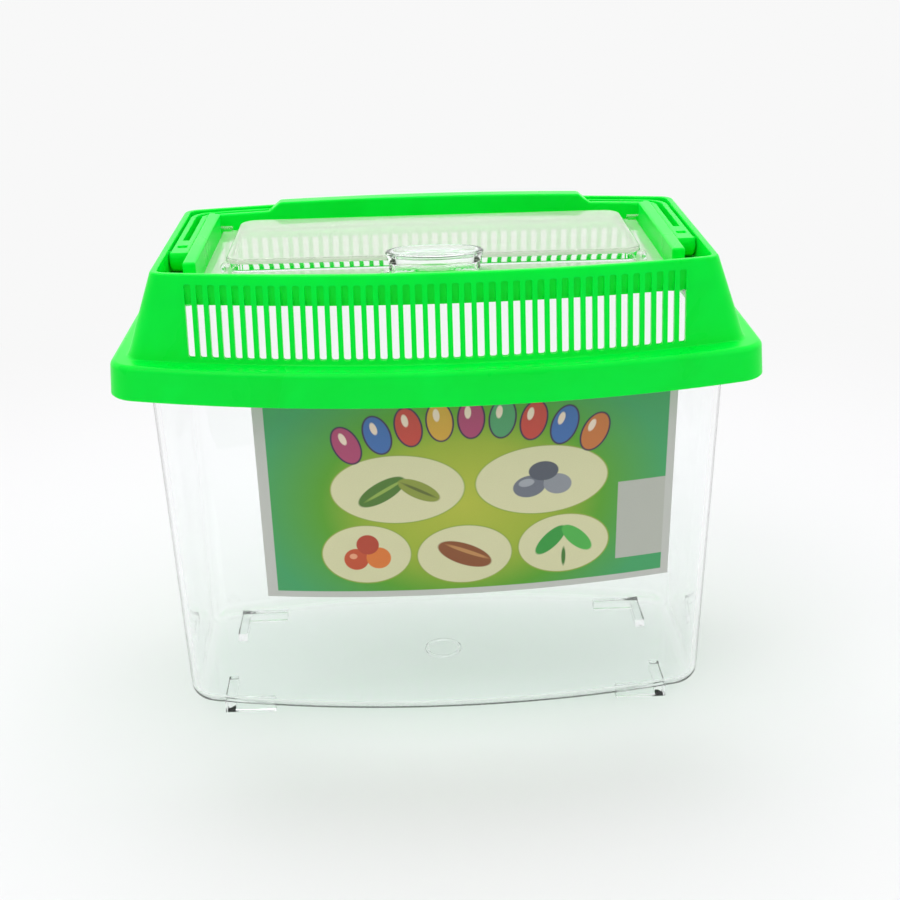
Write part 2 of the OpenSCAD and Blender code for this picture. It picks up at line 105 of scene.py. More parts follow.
@dataclass
class Shape:
    """A surface: its points in mm and its faces as lists of point numbers."""

    points: Array
    faces: list[list[int]]

    def __add__(self, other: "Shape") -> "Shape":
        """Both shapes as one.

        Args:
            other: the shape to put beside this one.

        Returns:
            A shape of both, not joined.
        """
        shift = len(self.points)
        moved = [[i + shift for i in f] for f in other.faces]
        return Shape(np.concatenate([self.points, other.points]), self.faces + moved)

    def moved(self, x: float) -> "Shape":
        """The shape moved along X by a distance in mm."""
        return Shape(self.points + np.array([x, 0.0, 0.0]), self.faces)

    def doubled(self, axis: Axis) -> "Shape":
        """The shape together with its mirror image on the other side of the origin."""
        sign = np.where(np.arange(3) == axis.value, -1.0, 1.0)
        return self + Shape(self.points * sign, self.faces)


@dataclass(frozen=True)
class Outline:
    """A rectangle with bowed long sides and round corners, seen from above, in mm."""

    length: float  # half length
    depth: float  # half depth at the middle of the long sides
    bow: float = STRAIGHT
    corner: float = 1.0
    shift: float = 0.0  # of the middle, in Y
    side_steps: int = 16
    corner_steps: int = 9

    def grown(self, out: float) -> "Outline":
        """The outline moved out by a distance, with its corners kept round."""
        return replace(self, length=self.length + out, depth=self.depth + out, bow=self.bow + out,
                       corner=np.maximum(self.corner + out, MIN_CORNER))

    def blended(self, other: "Outline", share: float | Array) -> "Outline":
        """The outline a share of the way from this one to another."""
        ends = {n: (getattr(self, n), getattr(other, n)) for n in BLENDED}
        return replace(self, **{n: a + (b - a) * share for n, (a, b) in ends.items()})

    def side_y(self, x: Array) -> Array:
        """Half depth of the bowed side at x: the circle of the bow's radius through its middle."""
        return self.depth - self.bow + np.sqrt(self.bow**2 - np.square(x))

    def quarter(self, columns: Array | None = None) -> Array:
        """A quarter of the outline, from the middle of the long side to the end.

        The side is the bow's circle, and the corner is a circle that touches it and the end:
        its centre lies at (length - r, depth - R + (R - r) cos t), with sin t = (length - r) / (R - r).

        Args:
            columns: the x of the points on the long side, or None for even steps.

        Returns:
            Points (n, 2) in mm.
        """
        radius, bow = self.corner, self.bow
        turn = math.asin((self.length - radius) / (bow - radius))
        if columns is None:
            columns = bow * np.sin(turn * (np.arange(self.side_steps) + 0.5) / self.side_steps)
        side = np.stack([columns, self.side_y(columns)], -1)
        t = np.linspace(turn, math.pi / 2, self.corner_steps)
        middle = [self.length - radius, self.depth - bow + (bow - radius) * math.cos(turn)]
        return np.concatenate([side, middle + radius * np.stack([np.sin(t), np.cos(t)], -1)])

    def ring(self, z: float) -> Array:
        """The whole outline as a ring of points: its quarter and the quarter's mirror images.

        Args:
            z: height of the ring, mm.

        Returns:
            Points (n, 3) in mm, clockwise from above.
        """
        q = self.quarter()
        flat = np.concatenate([q, q[::-1] * [1, -1], q * [-1, -1], q[::-1] * [-1, 1]])
        return np.column_stack([flat[:, 0], flat[:, 1] + self.shift, np.full(len(flat), z)])


def loft(rings: Array, wrap: bool = False) -> Shape:
    """A surface through rings (m, n, 3): capped at both ends, or closed on itself if wrap is True.

    Args:
        rings: points (m, n, 3) of m rings, in mm.
        wrap: True to join the last ring to the first instead of capping both ends.

    Returns:
        The closed shape.
    """
    m, n, _ = rings.shape
    rows = np.arange(m * n).reshape(m, n)
    low = rows if wrap else rows[:-1]
    high = np.roll(rows, -1, 0) if wrap else rows[1:]
    faces = np.stack([low, high, np.roll(high, -1, 1), np.roll(low, -1, 1)], -1).reshape(-1, 4).tolist()
    if not wrap:
        faces += [rows[0].tolist(), rows[-1][::-1].tolist()]
    return Shape(rings.reshape(-1, 3), faces)


Step = tuple[Outline, float, float]  # of a profile: outline, distance out, height


def steps_on(outline: Outline, *points: Pair) -> list[Step]:
    """Steps of a profile on one outline, from pairs of distance out and height."""
    return [(outline, out, z) for out, z in points]


def profile_loft(profile: Sequence[Step], wrap: bool = False) -> Shape:
    """A loft through the steps of a profile."""
    return loft(np.stack([o.grown(out).ring(z) for o, out, z in profile]), wrap)


def rounding(z: float, radius: float, start: float, end: float, steps: int = 6) -> Array:
    """Points of an arc about a centre at height z: out = r(cos t - 1), up = z + r sin t.

    Args:
        z: height of the arc's centre, mm.
        radius: the arc's radius, mm.
        start: first angle t, degrees.
        end: last angle t, degrees.
        steps: number of points.

    Returns:
        Points (n, 2) of distance out and height, mm.
    """
    t = np.radians(np.linspace(start, end, steps))
    return np.stack([radius * (np.cos(t) - 1), z + radius * np.sin(t)], -1)


def turned_x(profile: Sequence[Pair], y: float, z: float, steps: int = 32) -> Shape:
    """A solid turned about an axis along X: ring k is a circle of radius r at x, for each (x, r).

    Args:
        profile: place along X and radius of each ring, mm.
        y: the axis's place along the depth, mm.
        z: the axis's height, mm.
        steps: points to a ring.

    Returns:
        The capped solid.
    """
    t = np.linspace(0, 2 * math.pi, steps, endpoint=False)
    x, r = np.array(profile).T
    ring = np.stack([np.cos(t), np.sin(t)], -1)
    flat = r[:, None, None] * ring + np.array([y, z])
    return loft(np.concatenate([np.broadcast_to(x[:, None, None], (len(x), steps, 1)), flat], -1))


def pin_shape(x0: float, x1: float, y: float, z: float, r: float, chamfer: float = 0.3) -> Shape:
    """A pin along X from x0 to its chamfered end at x1."""
    return turned_x([(x0, r), (x1 - chamfer, r), (x1, r - chamfer)], y, z)


def turned_z(
    profile: Sequence[Triple], x: float = 0.0, y: float = 0.0, steps: int = 48, wrap: bool = False,
) -> Shape:
    """A solid of ellipses about an upright axis: one of half axes (rx, ry) at z, for each (rx, ry, z).

    Args:
        profile: half axes and height of each ring, mm.
        x: the axis's place along the length, mm.
        y: the axis's place along the depth, mm.
        steps: points to a ring.
        wrap: True for a ring-shaped solid, whose profile closes on itself.

    Returns:
        The closed solid.
    """
    t = np.linspace(0, 2 * math.pi, steps, endpoint=False)
    rx, ry, z = np.array(profile).T[:, :, None]
    level = np.broadcast_to(z, (len(profile), steps))
    return loft(np.stack([x + rx * np.cos(t), y + ry * np.sin(t), level], -1), wrap)


def prism(corners: Array, levels: Sequence[Pair]) -> Shape:
    """An upright prism of a flat outline that is moved in by a distance at each (in, z).

    A corner moves along the sum of its edges' inward normals, n1 + n2, by in / (1 + n1 . n2).

    Args:
        corners: points (n, 2), clockwise from above.
        levels: distance in and height of each ring, mm.

    Returns:
        The capped prism.
    """
    edge = np.roll(corners, -1, 0) - corners
    edge /= np.linalg.norm(edge, axis=1, keepdims=True)
    after = np.stack([edge[:, 1], -edge[:, 0]], -1)
    before = np.roll(after, 1, 0)
    inward = (after + before) / (1 + np.sum(after * before, 1, keepdims=True))
    rings = [np.column_stack([corners + inward * d, np.full(len(corners), z)]) for d, z in levels]
    return loft(np.stack(rings))


def box(low: Triple, high: Triple) -> Shape:
    """A plain box between two corners."""
    (x0, y0, z0), (x1, y1, z1) = low, high
    return prism(np.array([[x0, y1], [x1, y1], [x1, y0], [x0, y0]]), [(0.0, z0), (0.0, z1)])


# ---- pieces ----


def make_piece(name: str, shape: Shape) -> Piece:
    """Puts a shape into a mesh, in metres, with its faces pointing outwards.

    Args:
        name: the piece's name.
        shape: its shape, in mm.

    Returns:
        The piece, in the scene, at the origin.
    """
    mesh = bpy.data.meshes.new(name)
    mesh.from_pydata((shape.points * MM).tolist(), [], shape.faces)
    work = bmesh.new()
    work.from_mesh(mesh)
    bmesh.ops.recalc_face_normals(work, faces=work.faces)
    work.to_mesh(mesh)
    work.free()
    piece = bpy.data.objects.new(name, mesh)
    bpy.context.scene.collection.objects.link(piece)
    return piece


def settle(piece: Piece) -> None:
    """Applies the piece's modifiers to its mesh.

    Args:
        piece: the piece whose modifiers are applied and removed.
    """
    graph = bpy.context.evaluated_depsgraph_get()
    mesh = bpy.data.meshes.new_from_object(piece.evaluated_get(graph))
    old = piece.data
    piece.modifiers.clear()
    piece.data = mesh
    mesh.name = piece.name
    bpy.data.meshes.remove(old)


def join(piece: Piece, shape: Shape, how: Join) -> None:
    """Adds a shape to a piece, or cuts it out; stops if the piece's own faces are lost on the way.

    Args:
        piece: the piece that is changed.
        shape: the tool shape, in mm.
        how: whether the tool is added or cut out.
    """
    tool = make_piece(piece.name + "_tool", shape)
    before = Vector(piece.dimensions)
    change = piece.modifiers.new("join", "BOOLEAN")
    change.operation = how.value
    change.solver = "EXACT"
    change.object = tool
    settle(piece)
    if any(now < was - LOSS for now, was in zip(piece.dimensions, before)):
        raise RuntimeError(f"{piece.name}: joining a shape lost part of the piece")
    bpy.data.meshes.remove(tool.data)


def close_slivers(piece: Piece) -> None:
    """Fills the hair-thin gaps of up to four sides that a join can leave on a seam.

    Args:
        piece: the piece whose gaps are filled.
    """
    mesh = bmesh.new()
    mesh.from_mesh(piece.data)
    bmesh.ops.holes_fill(mesh, edges=[e for e in mesh.edges if e.is_boundary], sides=4)
    mesh.to_mesh(piece.data)
    mesh.free()


def smooth(piece: Piece, angle: float = 35.0) -> None:
    """Shades a piece smooth except across edges sharper than an angle; large faces stay flat.

    Args:
        piece: the piece to shade.
        angle: the sharpest turn that is shaded smooth, degrees.
    """
    mesh = piece.data
    mesh.polygons.foreach_set("use_smooth", np.ones(len(mesh.polygons), bool))
    mesh.set_sharp_from_angle(angle=math.radians(angle))
    change = piece.modifiers.new("normals", "WEIGHTED_NORMAL")
    change.mode = "FACE_AREA"
    change.weight = 100
    change.keep_sharp = True
    settle(piece)


def finish_piece(piece: Piece, material: Material, slot: Slot, body: Body, *nodes: str) -> None:
    """Dresses a piece, says what it rides on and what it replaces, and reports it.

    Args:
        piece: the piece to dress.
        material: the finish that the piece wears.
        slot: not used.
        body: the body it rides on.
        nodes: names of the CAD nodes it stands in for.
    """
    close_slivers(piece)
    smooth(piece)
    piece.data.materials.clear()
    piece.data.materials.append(material)
    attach(piece, body.value)
    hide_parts(*nodes)
    log.info("%s: %d faces, on %s", piece.name, len(piece.data.polygons), body.value)


# ---- materials ----


def hex_colour(code: str) -> Quad:
    """A colour written as sRGB hex, turned to linear with alpha 1.

    Args:
        code: the colour as #RRGGBB.

    Returns:
        Linear red, green and blue, and alpha.
    """
    srgb = np.array([int(code[i : i + 2], 16) for i in (1, 3, 5)]) / 255
    linear = np.where(srgb <= 0.04045, srgb / 12.92, ((srgb + 0.055) / 1.055) ** 2.4)
    return (*linear.tolist(), 1.0)


def add_node(tree: Tree, kind: str, settings: dict | None = None, **inputs) -> bpy.types.Node:
    """Adds a node with its settings; an input is a value, or a socket to link.

    Args:
        tree: the material's node tree.
        kind: the node's type without its ShaderNode prefix.
        settings: the node's own properties.
        inputs: input sockets by name, with _ for a space, or by number as in i0.

    Returns:
        The new node.
    """
    node = tree.nodes.new("ShaderNode" + kind)
    for key, value in (settings or {}).items():
        setattr(node, key, value)
    for key, value in inputs.items():
        by_number = key[0] == "i" and key[1:].isdigit()
        socket = node.inputs[int(key[1:]) if by_number else key.replace("_", " ")]
        if isinstance(value, bpy.types.NodeSocket):
            tree.links.new(value, socket)
        else:
            socket.default_value = value
    return node


def noise(tree: Tree, where: Socket, scale: float, detail: float, distortion: float = 0.0) -> Socket:
    """Soft noise, with about so many patches to a unit of length as its scale says."""
    return add_node(
        tree, "TexNoise", Vector=where, Scale=scale, Detail=detail, Distortion=distortion).outputs["Fac"]


def maths(tree: Tree, operation: str, a: Socket, b: Socket | float = 0.0) -> Socket:
    """The result of an operation on numbers."""
    return add_node(tree, "Math", {"operation": operation}, i0=a, i1=b).outputs[0]


def vectors(tree: Tree, operation: str, a: Socket, b: Triple = (0.0, 0.0, 0.0)) -> Socket:
    """The result of an operation on vectors: a number for a length or a dot product, else a vector."""
    node = add_node(tree, "VectorMath", {"operation": operation}, i0=a, i1=b)
    return node.outputs["Value" if operation in ("LENGTH", "DOT_PRODUCT") else "Vector"]


def remap(
    tree: Tree, value: Socket, span: Pair = (0.0, 1.0), to: Sequence[float | Socket] = (0.0, 1.0),
    curve: str = "LINEAR",
) -> Socket:
    """Carries a value from one span of numbers to another, and holds it at both ends.

    Args:
        tree: the material's node tree.
        value: the value to carry over.
        span: the numbers it comes from.
        to: the numbers, or sockets, it goes to.
        curve: how it goes from one to the other.

    Returns:
        The carried value.
    """
    node = add_node(tree, "MapRange", {"interpolation_type": curve}, Value=value,
                    From_Min=span[0], From_Max=span[1], To_Min=to[0], To_Max=to[1])
    return node.outputs["Result"]


def bump(tree: Tree, height: Socket, strength: float, depth: float) -> Socket:
    """The normals of a relief with a depth in metres."""
    return add_node(tree, "Bump", Height=height, Strength=strength, Distance=depth).outputs["Normal"]


def mix_colours(
    tree: Tree, share: Socket | float, under: Socket | tuple, over: Socket | tuple, blend: str = "MIX",
) -> Socket:
    """One colour laid over another by a share."""
    settings = {"data_type": "RGBA", "blend_type": blend}
    return add_node(tree, "Mix", settings, i0=share, i6=under, i7=over).outputs[2]


def mix_shaders(tree: Tree, share: Socket | float, under: Socket, over: Socket) -> Socket:
    """One shader laid over another by a share."""
    return add_node(tree, "MixShader", i0=share, i1=under, i2=over).outputs[0]


def rays(tree: Tree, *kinds: str) -> Socket:
    """1 for rays of the named kinds, such as Camera or Shadow, and 0 for all others.

    Args:
        tree: the material's node tree.
        kinds: the kinds of ray.

    Returns:
        1 or 0, by the ray.
    """
    path = add_node(tree, "LightPath")
    found = path.outputs[f"Is {kinds[0]} Ray"]
    for kind in kinds[1:]:
        found = maths(tree, "MAXIMUM", found, path.outputs[f"Is {kind} Ray"])
    return found


class Finish:
    """A procedural material; each kind says what its surface is made of."""

    name: str

    def surface(self, tree: Tree, place: bpy.types.Node) -> Socket:
        """The surface's shader, from a node that gives the place on the piece."""
        raise NotImplementedError

    def build(self) -> Material:
        """Makes the material.

        Returns:
            The material, with its node tree.
        """
        material = bpy.data.materials.new(self.name)
        material.use_nodes = True
        tree = material.node_tree
        tree.nodes.clear()
        add_node(tree, "OutputMaterial", Surface=self.surface(tree, add_node(tree, "TexCoord")))
        return material


@dataclass(frozen=True)
class ClearPolystyrene(Finish):
    """Crystal polystyrene, moulded in a polished tool: clear, with a patchy gloss and slow waves."""

    name: str = "crystal_polystyrene"
    tint: str = "#FEFFFF"
    dimmed: str = "#FBFDFC"  # what is left of white light that shines through
    ior: float = 1.59
    polish: float = 0.03  # roughness
    haze_mm: float = 18.0  # size of the soft patches of handling haze
    flow_mm: float = 30.0  # size of the slow waves that moulding leaves
    wave: Pair = (0.06, 0.0006)  # their strength, and depth in m
    painted_sheen: float = 0.0  # share of a milky veil painted on level faces: a painted reflection of the bright surround
    sheen_colour: str = "#D6DECB"  # colour of the painted sheen
    sheen_through: float = 0.45  # share of the painted sheen's light that passes through
    polished: Quad = (0.0, -25.7, 15.0, 8.0)  # mm, middle and half axes of an oval kept free of the painted sheen
    polished_edge: Pair = (0.9, 1.15)  # where the painted sheen begins and is full, in shares of the oval
    patch_span: Pair = (0.3, 0.7)  # the span of the noise that makes patches
    level_span: Pair = (0.6, 0.95)  # how far up a face looks where the painted sheen begins and is full

    def surface(self, tree: Tree, place: bpy.types.Node) -> Socket:
        """Glass that lets lamps and soft light through, with patchy gloss and shallow flow waves.

        Args:
            tree: the material's node tree.
            place: the node that gives the place on the piece.

        Returns:
            The surface's shader.
        """
        where = place.outputs["Object"]
        haze = noise(tree, where, 1 / (self.haze_mm * MM), 4.0)
        flow = noise(tree, where, 1 / (self.flow_mm * MM), 1.0)
        skin = add_node(
            tree, "BsdfPrincipled", Base_Color=hex_colour(self.tint), IOR=self.ior, Transmission_Weight=1.0,
            Roughness=remap(tree, haze, (0.35, 0.75), (self.polish * 0.6, self.polish * 1.8)),
            Normal=bump(tree, flow, *self.wave)).outputs[0]
        # on level faces, a milky veil painted over the glass stands in for the reflection of the bright
        # surround
        if self.painted_sheen:
            skin = self.add_painted_sheen(tree, place, haze, skin)
        lamps = add_node(tree, "BsdfTransparent", Color=hex_colour(self.dimmed)).outputs[0]
        return mix_shaders(tree, rays(tree, "Shadow", "Diffuse"), skin, lamps)

    def add_painted_sheen(self, tree: Tree, place: bpy.types.Node, patches: Socket, glass: Socket) -> Socket:
        """Mixes a patchy milky veil, a painted reflection of the bright surround, over the glass on level
        faces, except inside the polished oval.

        Args:
            tree: the material's node tree.
            place: the node that gives the place on the piece.
            patches: the noise that makes the painted sheen patchy.
            glass: the clear shader.

        Returns:
            The mixed shader.
        """
        x, y, rx, ry = self.polished
        own = vectors(tree, "SUBTRACT", place.outputs["Object"], (x * MM, y * MM, 0.0))
        far = vectors(tree, "LENGTH", vectors(tree, "MULTIPLY", own, (1 / (rx * MM), 1 / (ry * MM), 0.0)))
        outside = remap(tree, far, self.polished_edge, curve="SMOOTHSTEP")
        share = remap(tree, patches, self.patch_span, (self.painted_sheen * 0.92, self.painted_sheen * 1.06))
        up = add_node(tree, "SeparateXYZ", Vector=place.outputs["Normal"]).outputs["Z"]
        level = remap(tree, maths(tree, "ABSOLUTE", up), self.level_span)
        amount = maths(tree, "MULTIPLY", maths(tree, "MULTIPLY", outside, level), share)
        # the painted sheen: a pale diffuse and translucent veil that stands in for reflected light
        over = add_node(tree, "BsdfDiffuse", Color=hex_colour(self.sheen_colour)).outputs[0]
        through = add_node(tree, "BsdfTranslucent", Color=hex_colour(self.sheen_colour)).outputs[0]
        return mix_shaders(tree, amount, glass, mix_shaders(tree, self.sheen_through, over, through))


@dataclass(frozen=True)
class GreenPolypropylene(Finish):
    """Polypropylene coloured through, moulded with a satin gloss: bright, waxy, a little see-through."""

    name: str = "green_polypropylene"
    colour: str = "#00F444"
    shade: str = "#00EA3A"
    ior: float = 1.49
    sheen: float = 0.1  # level of the mirrored light
    satin: float = 0.3  # roughness
    glow: float = 0.3  # share of light that scatters inside
    glow_m: float = 0.003  # how far it scatters
    glow_reach: Triple = (0.5, 1.0, 0.5)  # that distance's shares for red, green and blue
    flow_mm: float = 26.0  # size of the slow colour streaks that moulding leaves
    streaks: Pair = (0.3, 0.7)  # the span of the noise that shows as streaks
    grain_mm: float = 0.5  # texture of the tool, drawn coarser than real so that it shows
    tooth: Pair = (0.08, 0.00008)  # its strength, and depth in m

    def surface(self, tree: Tree, place: bpy.types.Node) -> Socket:
        """Scattering plastic with slow colour streaks, fine grain and patchy satin.

        Args:
            tree: the material's node tree.
            place: the node that gives the place on the piece.

        Returns:
            The surface's shader.
        """
        where = place.outputs["Object"]
        flow = noise(tree, where, 1 / (self.flow_mm * MM), 3.0, 0.6)
        grain = noise(tree, where, 1 / (self.grain_mm * MM), 2.0)
        return add_node(
            tree, "BsdfPrincipled", IOR=self.ior, Specular_IOR_Level=self.sheen,
            Base_Color=mix_colours(
                tree, remap(tree, flow, self.streaks), hex_colour(self.shade), hex_colour(self.colour)),
            Roughness=remap(tree, flow, self.streaks, (self.satin * 0.85, self.satin * 1.2)),
            Normal=bump(tree, grain, *self.tooth), Subsurface_Weight=self.glow,
            Subsurface_Radius=self.glow_reach, Subsurface_Scale=self.glow_m).outputs[0]


@dataclass
class PrintRun:
    """A print under way: the place on the sheet in mm, and the colour printed so far."""

    tree: Tree
    mm: Socket
    colour: Socket
    bleed: float = 0.12  # half width of a disc's soft edge, mm
    trim: float = 0.1  # and of a patch's

    def ink(self, share: Socket, code: str) -> None:
        """Prints a colour by a share."""
        self.colour = mix_colours(self.tree, share, self.colour, hex_colour(code))

    def disc(self, middle: Pair, radii: Pair, turn: float, code: str) -> None:
        """Prints an ellipse: ink where the distance in its own turned and scaled axes is under 1.

        Args:
            middle: the ellipse's middle, mm.
            radii: its half axes, mm.
            turn: its turn, degrees.
            code: its colour.
        """
        tree = self.tree
        own = add_node(
            tree, "Mapping", {"vector_type": "TEXTURE"}, Vector=self.mm, Location=(*middle, 0.0),
            Rotation=(0.0, 0.0, math.radians(turn)), Scale=(*radii, 1.0)).outputs["Vector"]
        far = vectors(tree, "LENGTH", vectors(tree, "MULTIPLY", own, (1.0, 1.0, 0.0)))
        soft = self.bleed / min(radii)
        self.ink(remap(tree, far, (1 - soft, 1 + soft), (1.0, 0.0)), code)

    def patch(self, middle: Pair, half: Pair, code: str, outside: bool = False) -> None:
        """Prints a rectangle, or all that lies outside it: by the larger of |x| - a and |y| - b.

        Args:
            middle: the rectangle's middle, mm.
            half: its half sizes a and b, mm.
            code: its colour.
            outside: True to print outside it.
        """
        tree = self.tree
        size = vectors(tree, "ABSOLUTE", vectors(tree, "SUBTRACT", self.mm, (*middle, 0.0)))
        past = add_node(tree, "SeparateXYZ", Vector=vectors(tree, "SUBTRACT", size, (*half, 0.0)))
        far = maths(tree, "MAXIMUM", past.outputs["X"], past.outputs["Y"])
        self.ink(remap(tree, far, (-self.trim, self.trim), (float(not outside), float(outside))), code)


@dataclass(frozen=True)
class Garland:
    """A row of coloured ovals in an arch, in the label's mm."""

    inks: tuple[str, ...] = ("#B0476F", "#3F6FB0", "#C9483A", "#D8A83A", "#B0476F", "#4FA06A", "#C9483A",
                             "#3F6FB0", "#C9773A")
    outline: str = "#3A2A4A"
    glint: str = "#F2DCC8"
    start: float = 25.4
    pitch: float = 8.6
    crest: Pair = (60.0, 56.2)
    fall: float = 0.0058  # mm down for each square mm away from the crest
    turn: Pair = (24.0, -6.0)  # degrees: of the first oval, and from one to the next
    radii: Pair = (3.4, 5.7)
    line: float = 0.5  # width of the outline
    glint_at: Pair = (-0.9, 2.0)  # from an oval's middle
    glint_radii: Pair = (0.9, 1.9)

    def draw(self, run: PrintRun) -> None:
        """Prints each oval on its outline, with a glint.

        Args:
            run: the print that the ovals are added to.
        """
        for i, ink in enumerate(self.inks):
            x = self.start + self.pitch * i
            y = self.crest[1] - self.fall * (x - self.crest[0]) ** 2
            turn = self.turn[0] + self.turn[1] * i
            run.disc((x, y), (self.radii[0] + self.line, self.radii[1] + self.line), turn, self.outline)
            run.disc((x, y), self.radii, turn, ink)
            run.disc((x + self.glint_at[0], y + self.glint_at[1]), self.glint_radii, turn, self.glint)


@dataclass(frozen=True)
class PrintedCard(Finish):
    """Coated card with a full-colour print: deep green at the sides, yellow in the middle."""

    name: str = "printed_card"
    width: float = 117.6
    height: float = 64.9
    field: Quad = (3.1, 2.0, 115.3, 70.0)  # mm, inside the bare border
    panel_at: Pair = (108.8, 20.0)
    panel_half: Pair = (7.4, 12.6)
    middle: Pair = (57.0, 30.0)  # of the rings of green, mm
    reach: Pair = (60.0, 46.0)  # where they end, mm
    ring: float = 0.35  # width of the ring round a motif's oval, mm
    rough: Pair = (0.32, 0.5)  # range of the gloss's roughness
    ior: float = 1.5
    back_span: Pair = (0.1, 0.3)  # how far back a face looks where the bare back begins and is full
    tone: Pair = (0.93, 1.05)  # range of the card's mottle
    border: str = "#C6C9C2"
    back: str = "#DDDFDA"
    panel: str = "#B9BDB2"
    rim: str = "#8FA83A"
    cream: str = "#DAD9AC"
    greens: tuple[tuple[float, str], ...] = (
        (0.0, "#B5BE3C"), (0.42, "#9DB42F"), (0.66, "#56A31E"), (0.98, "#3FA463"))

    def surface(self, tree: Tree, place: bpy.types.Node) -> Socket:
        """The print in the label's own millimetres, from its UV map, on one side of the card.

        Args:
            tree: the material's node tree.
            place: the node that gives the place on the piece.

        Returns:
            The surface's shader.
        """
        uv = add_node(tree, "UVMap").outputs["UV"]
        mm = add_node(tree, "Mapping", Vector=uv, Scale=(self.width, self.height, 1.0)).outputs["Vector"]
        run = PrintRun(tree, mm, self.ground(tree, mm))
        for x, y, radii, motif in MOTIFS:
            run.disc((x, y), (radii[0] + self.ring, radii[1] + self.ring), 0.0, self.rim)
            run.disc((x, y), radii, 0.0, self.cream)
            for dx, dy, rx, ry, turn, ink in motif:
                run.disc((x + dx, y + dy), (rx, ry), turn, ink)
        Garland().draw(run)
        run.patch(self.panel_at, self.panel_half, self.panel)
        x0, y0, x1, y1 = self.field
        run.patch(((x0 + x1) / 2, (y0 + y1) / 2), ((x1 - x0) / 2, (y1 - y0) / 2), self.border, outside=True)
        side = add_node(tree, "SeparateXYZ", Vector=place.outputs["Normal"])
        run.ink(remap(tree, side.outputs["Y"], self.back_span), self.back)
        fleck = noise(tree, mm, 3.0, 3.0)
        toned = mix_colours(tree, 1.0, run.colour, remap(tree, fleck, to=self.tone), "MULTIPLY")
        rough = remap(tree, fleck, to=self.rough)
        return add_node(tree, "BsdfPrincipled", Base_Color=toned, Roughness=rough, IOR=self.ior).outputs[0]

    def ground(self, tree: Tree, mm: Socket) -> Socket:
        """Rings of green round a bright middle: the distance from it, squeezed upright, drives the colour.

        Args:
            tree: the material's node tree.
            mm: the place on the sheet, mm.

        Returns:
            The ground's colour.
        """
        near = add_node(tree, "Mapping", {"vector_type": "TEXTURE"}, Vector=mm,
                        Location=(*self.middle, 0.0), Scale=(*self.reach, 1.0)).outputs["Vector"]
        ramp = add_node(tree, "ValToRGB", Fac=vectors(tree, "LENGTH", near))
        stops = ramp.color_ramp.elements
        for at, _ in self.greens[1:-1]:
            stops.new(at)
        for stop, (at, code) in zip(stops, self.greens):
            stop.position = at
            stop.color = hex_colour(code)
        return ramp.outputs["Color"]


# Leaves, pebbles, berries and a seed on cream ovals, in the label's mm: the oval's middle and half axes,
# then (dx, dy, rx, ry, turn, ink) for each ellipse of its motif
MOTIFS = [
    (39.0, 35.2, (18.6, 10.6), [
        (-4.4, -0.6, 7.6, 3.0, 32.0, "#4F7A2A"), (-3.6, -0.2, 6.0, 0.5, 32.0, "#93B04E"),
        (6.0, -0.4, 6.4, 2.6, -28.0, "#8C9A3C"), (6.0, -0.4, 5.0, 0.45, -28.0, "#5E6B2A")]),
    (79.5, 35.8, (18.6, 10.6), [
        (-3.6, -1.8, 4.6, 3.4, 8.0, "#6F7580"), (4.4, -1.6, 4.0, 3.2, -10.0, "#8F949B"),
        (0.4, 2.8, 4.2, 3.0, 0.0, "#555B66"), (-4.4, -0.6, 2.2, 1.2, 8.0, "#A3A8AF")]),
    (29.5, 14.4, (12.6, 9.4), [
        (-3.0, -1.6, 3.5, 3.5, 0.0, "#C4502A"), (3.4, -1.2, 3.5, 3.5, 0.0, "#DE7A30"),
        (0.4, 3.2, 3.2, 3.2, 0.0, "#B5432A"), (-3.8, -0.6, 1.1, 0.9, 0.0, "#E9A37C")]),
    (57.5, 13.4, (13.4, 9.4), [
        (0.0, 0.0, 8.2, 3.4, -24.0, "#8A4F26"), (0.8, 0.8, 6.2, 0.6, -24.0, "#C08A52")]),
    (86.0, 14.6, (13.0, 9.4), [
        (-3.8, 1.4, 5.8, 2.4, 46.0, "#2F9A3A"), (3.8, 1.4, 5.8, 2.4, -46.0, "#4DB44A"),
        (0.0, -4.4, 0.6, 3.0, 0.0, "#3E7A2C")]),
]


# ---- tub ----


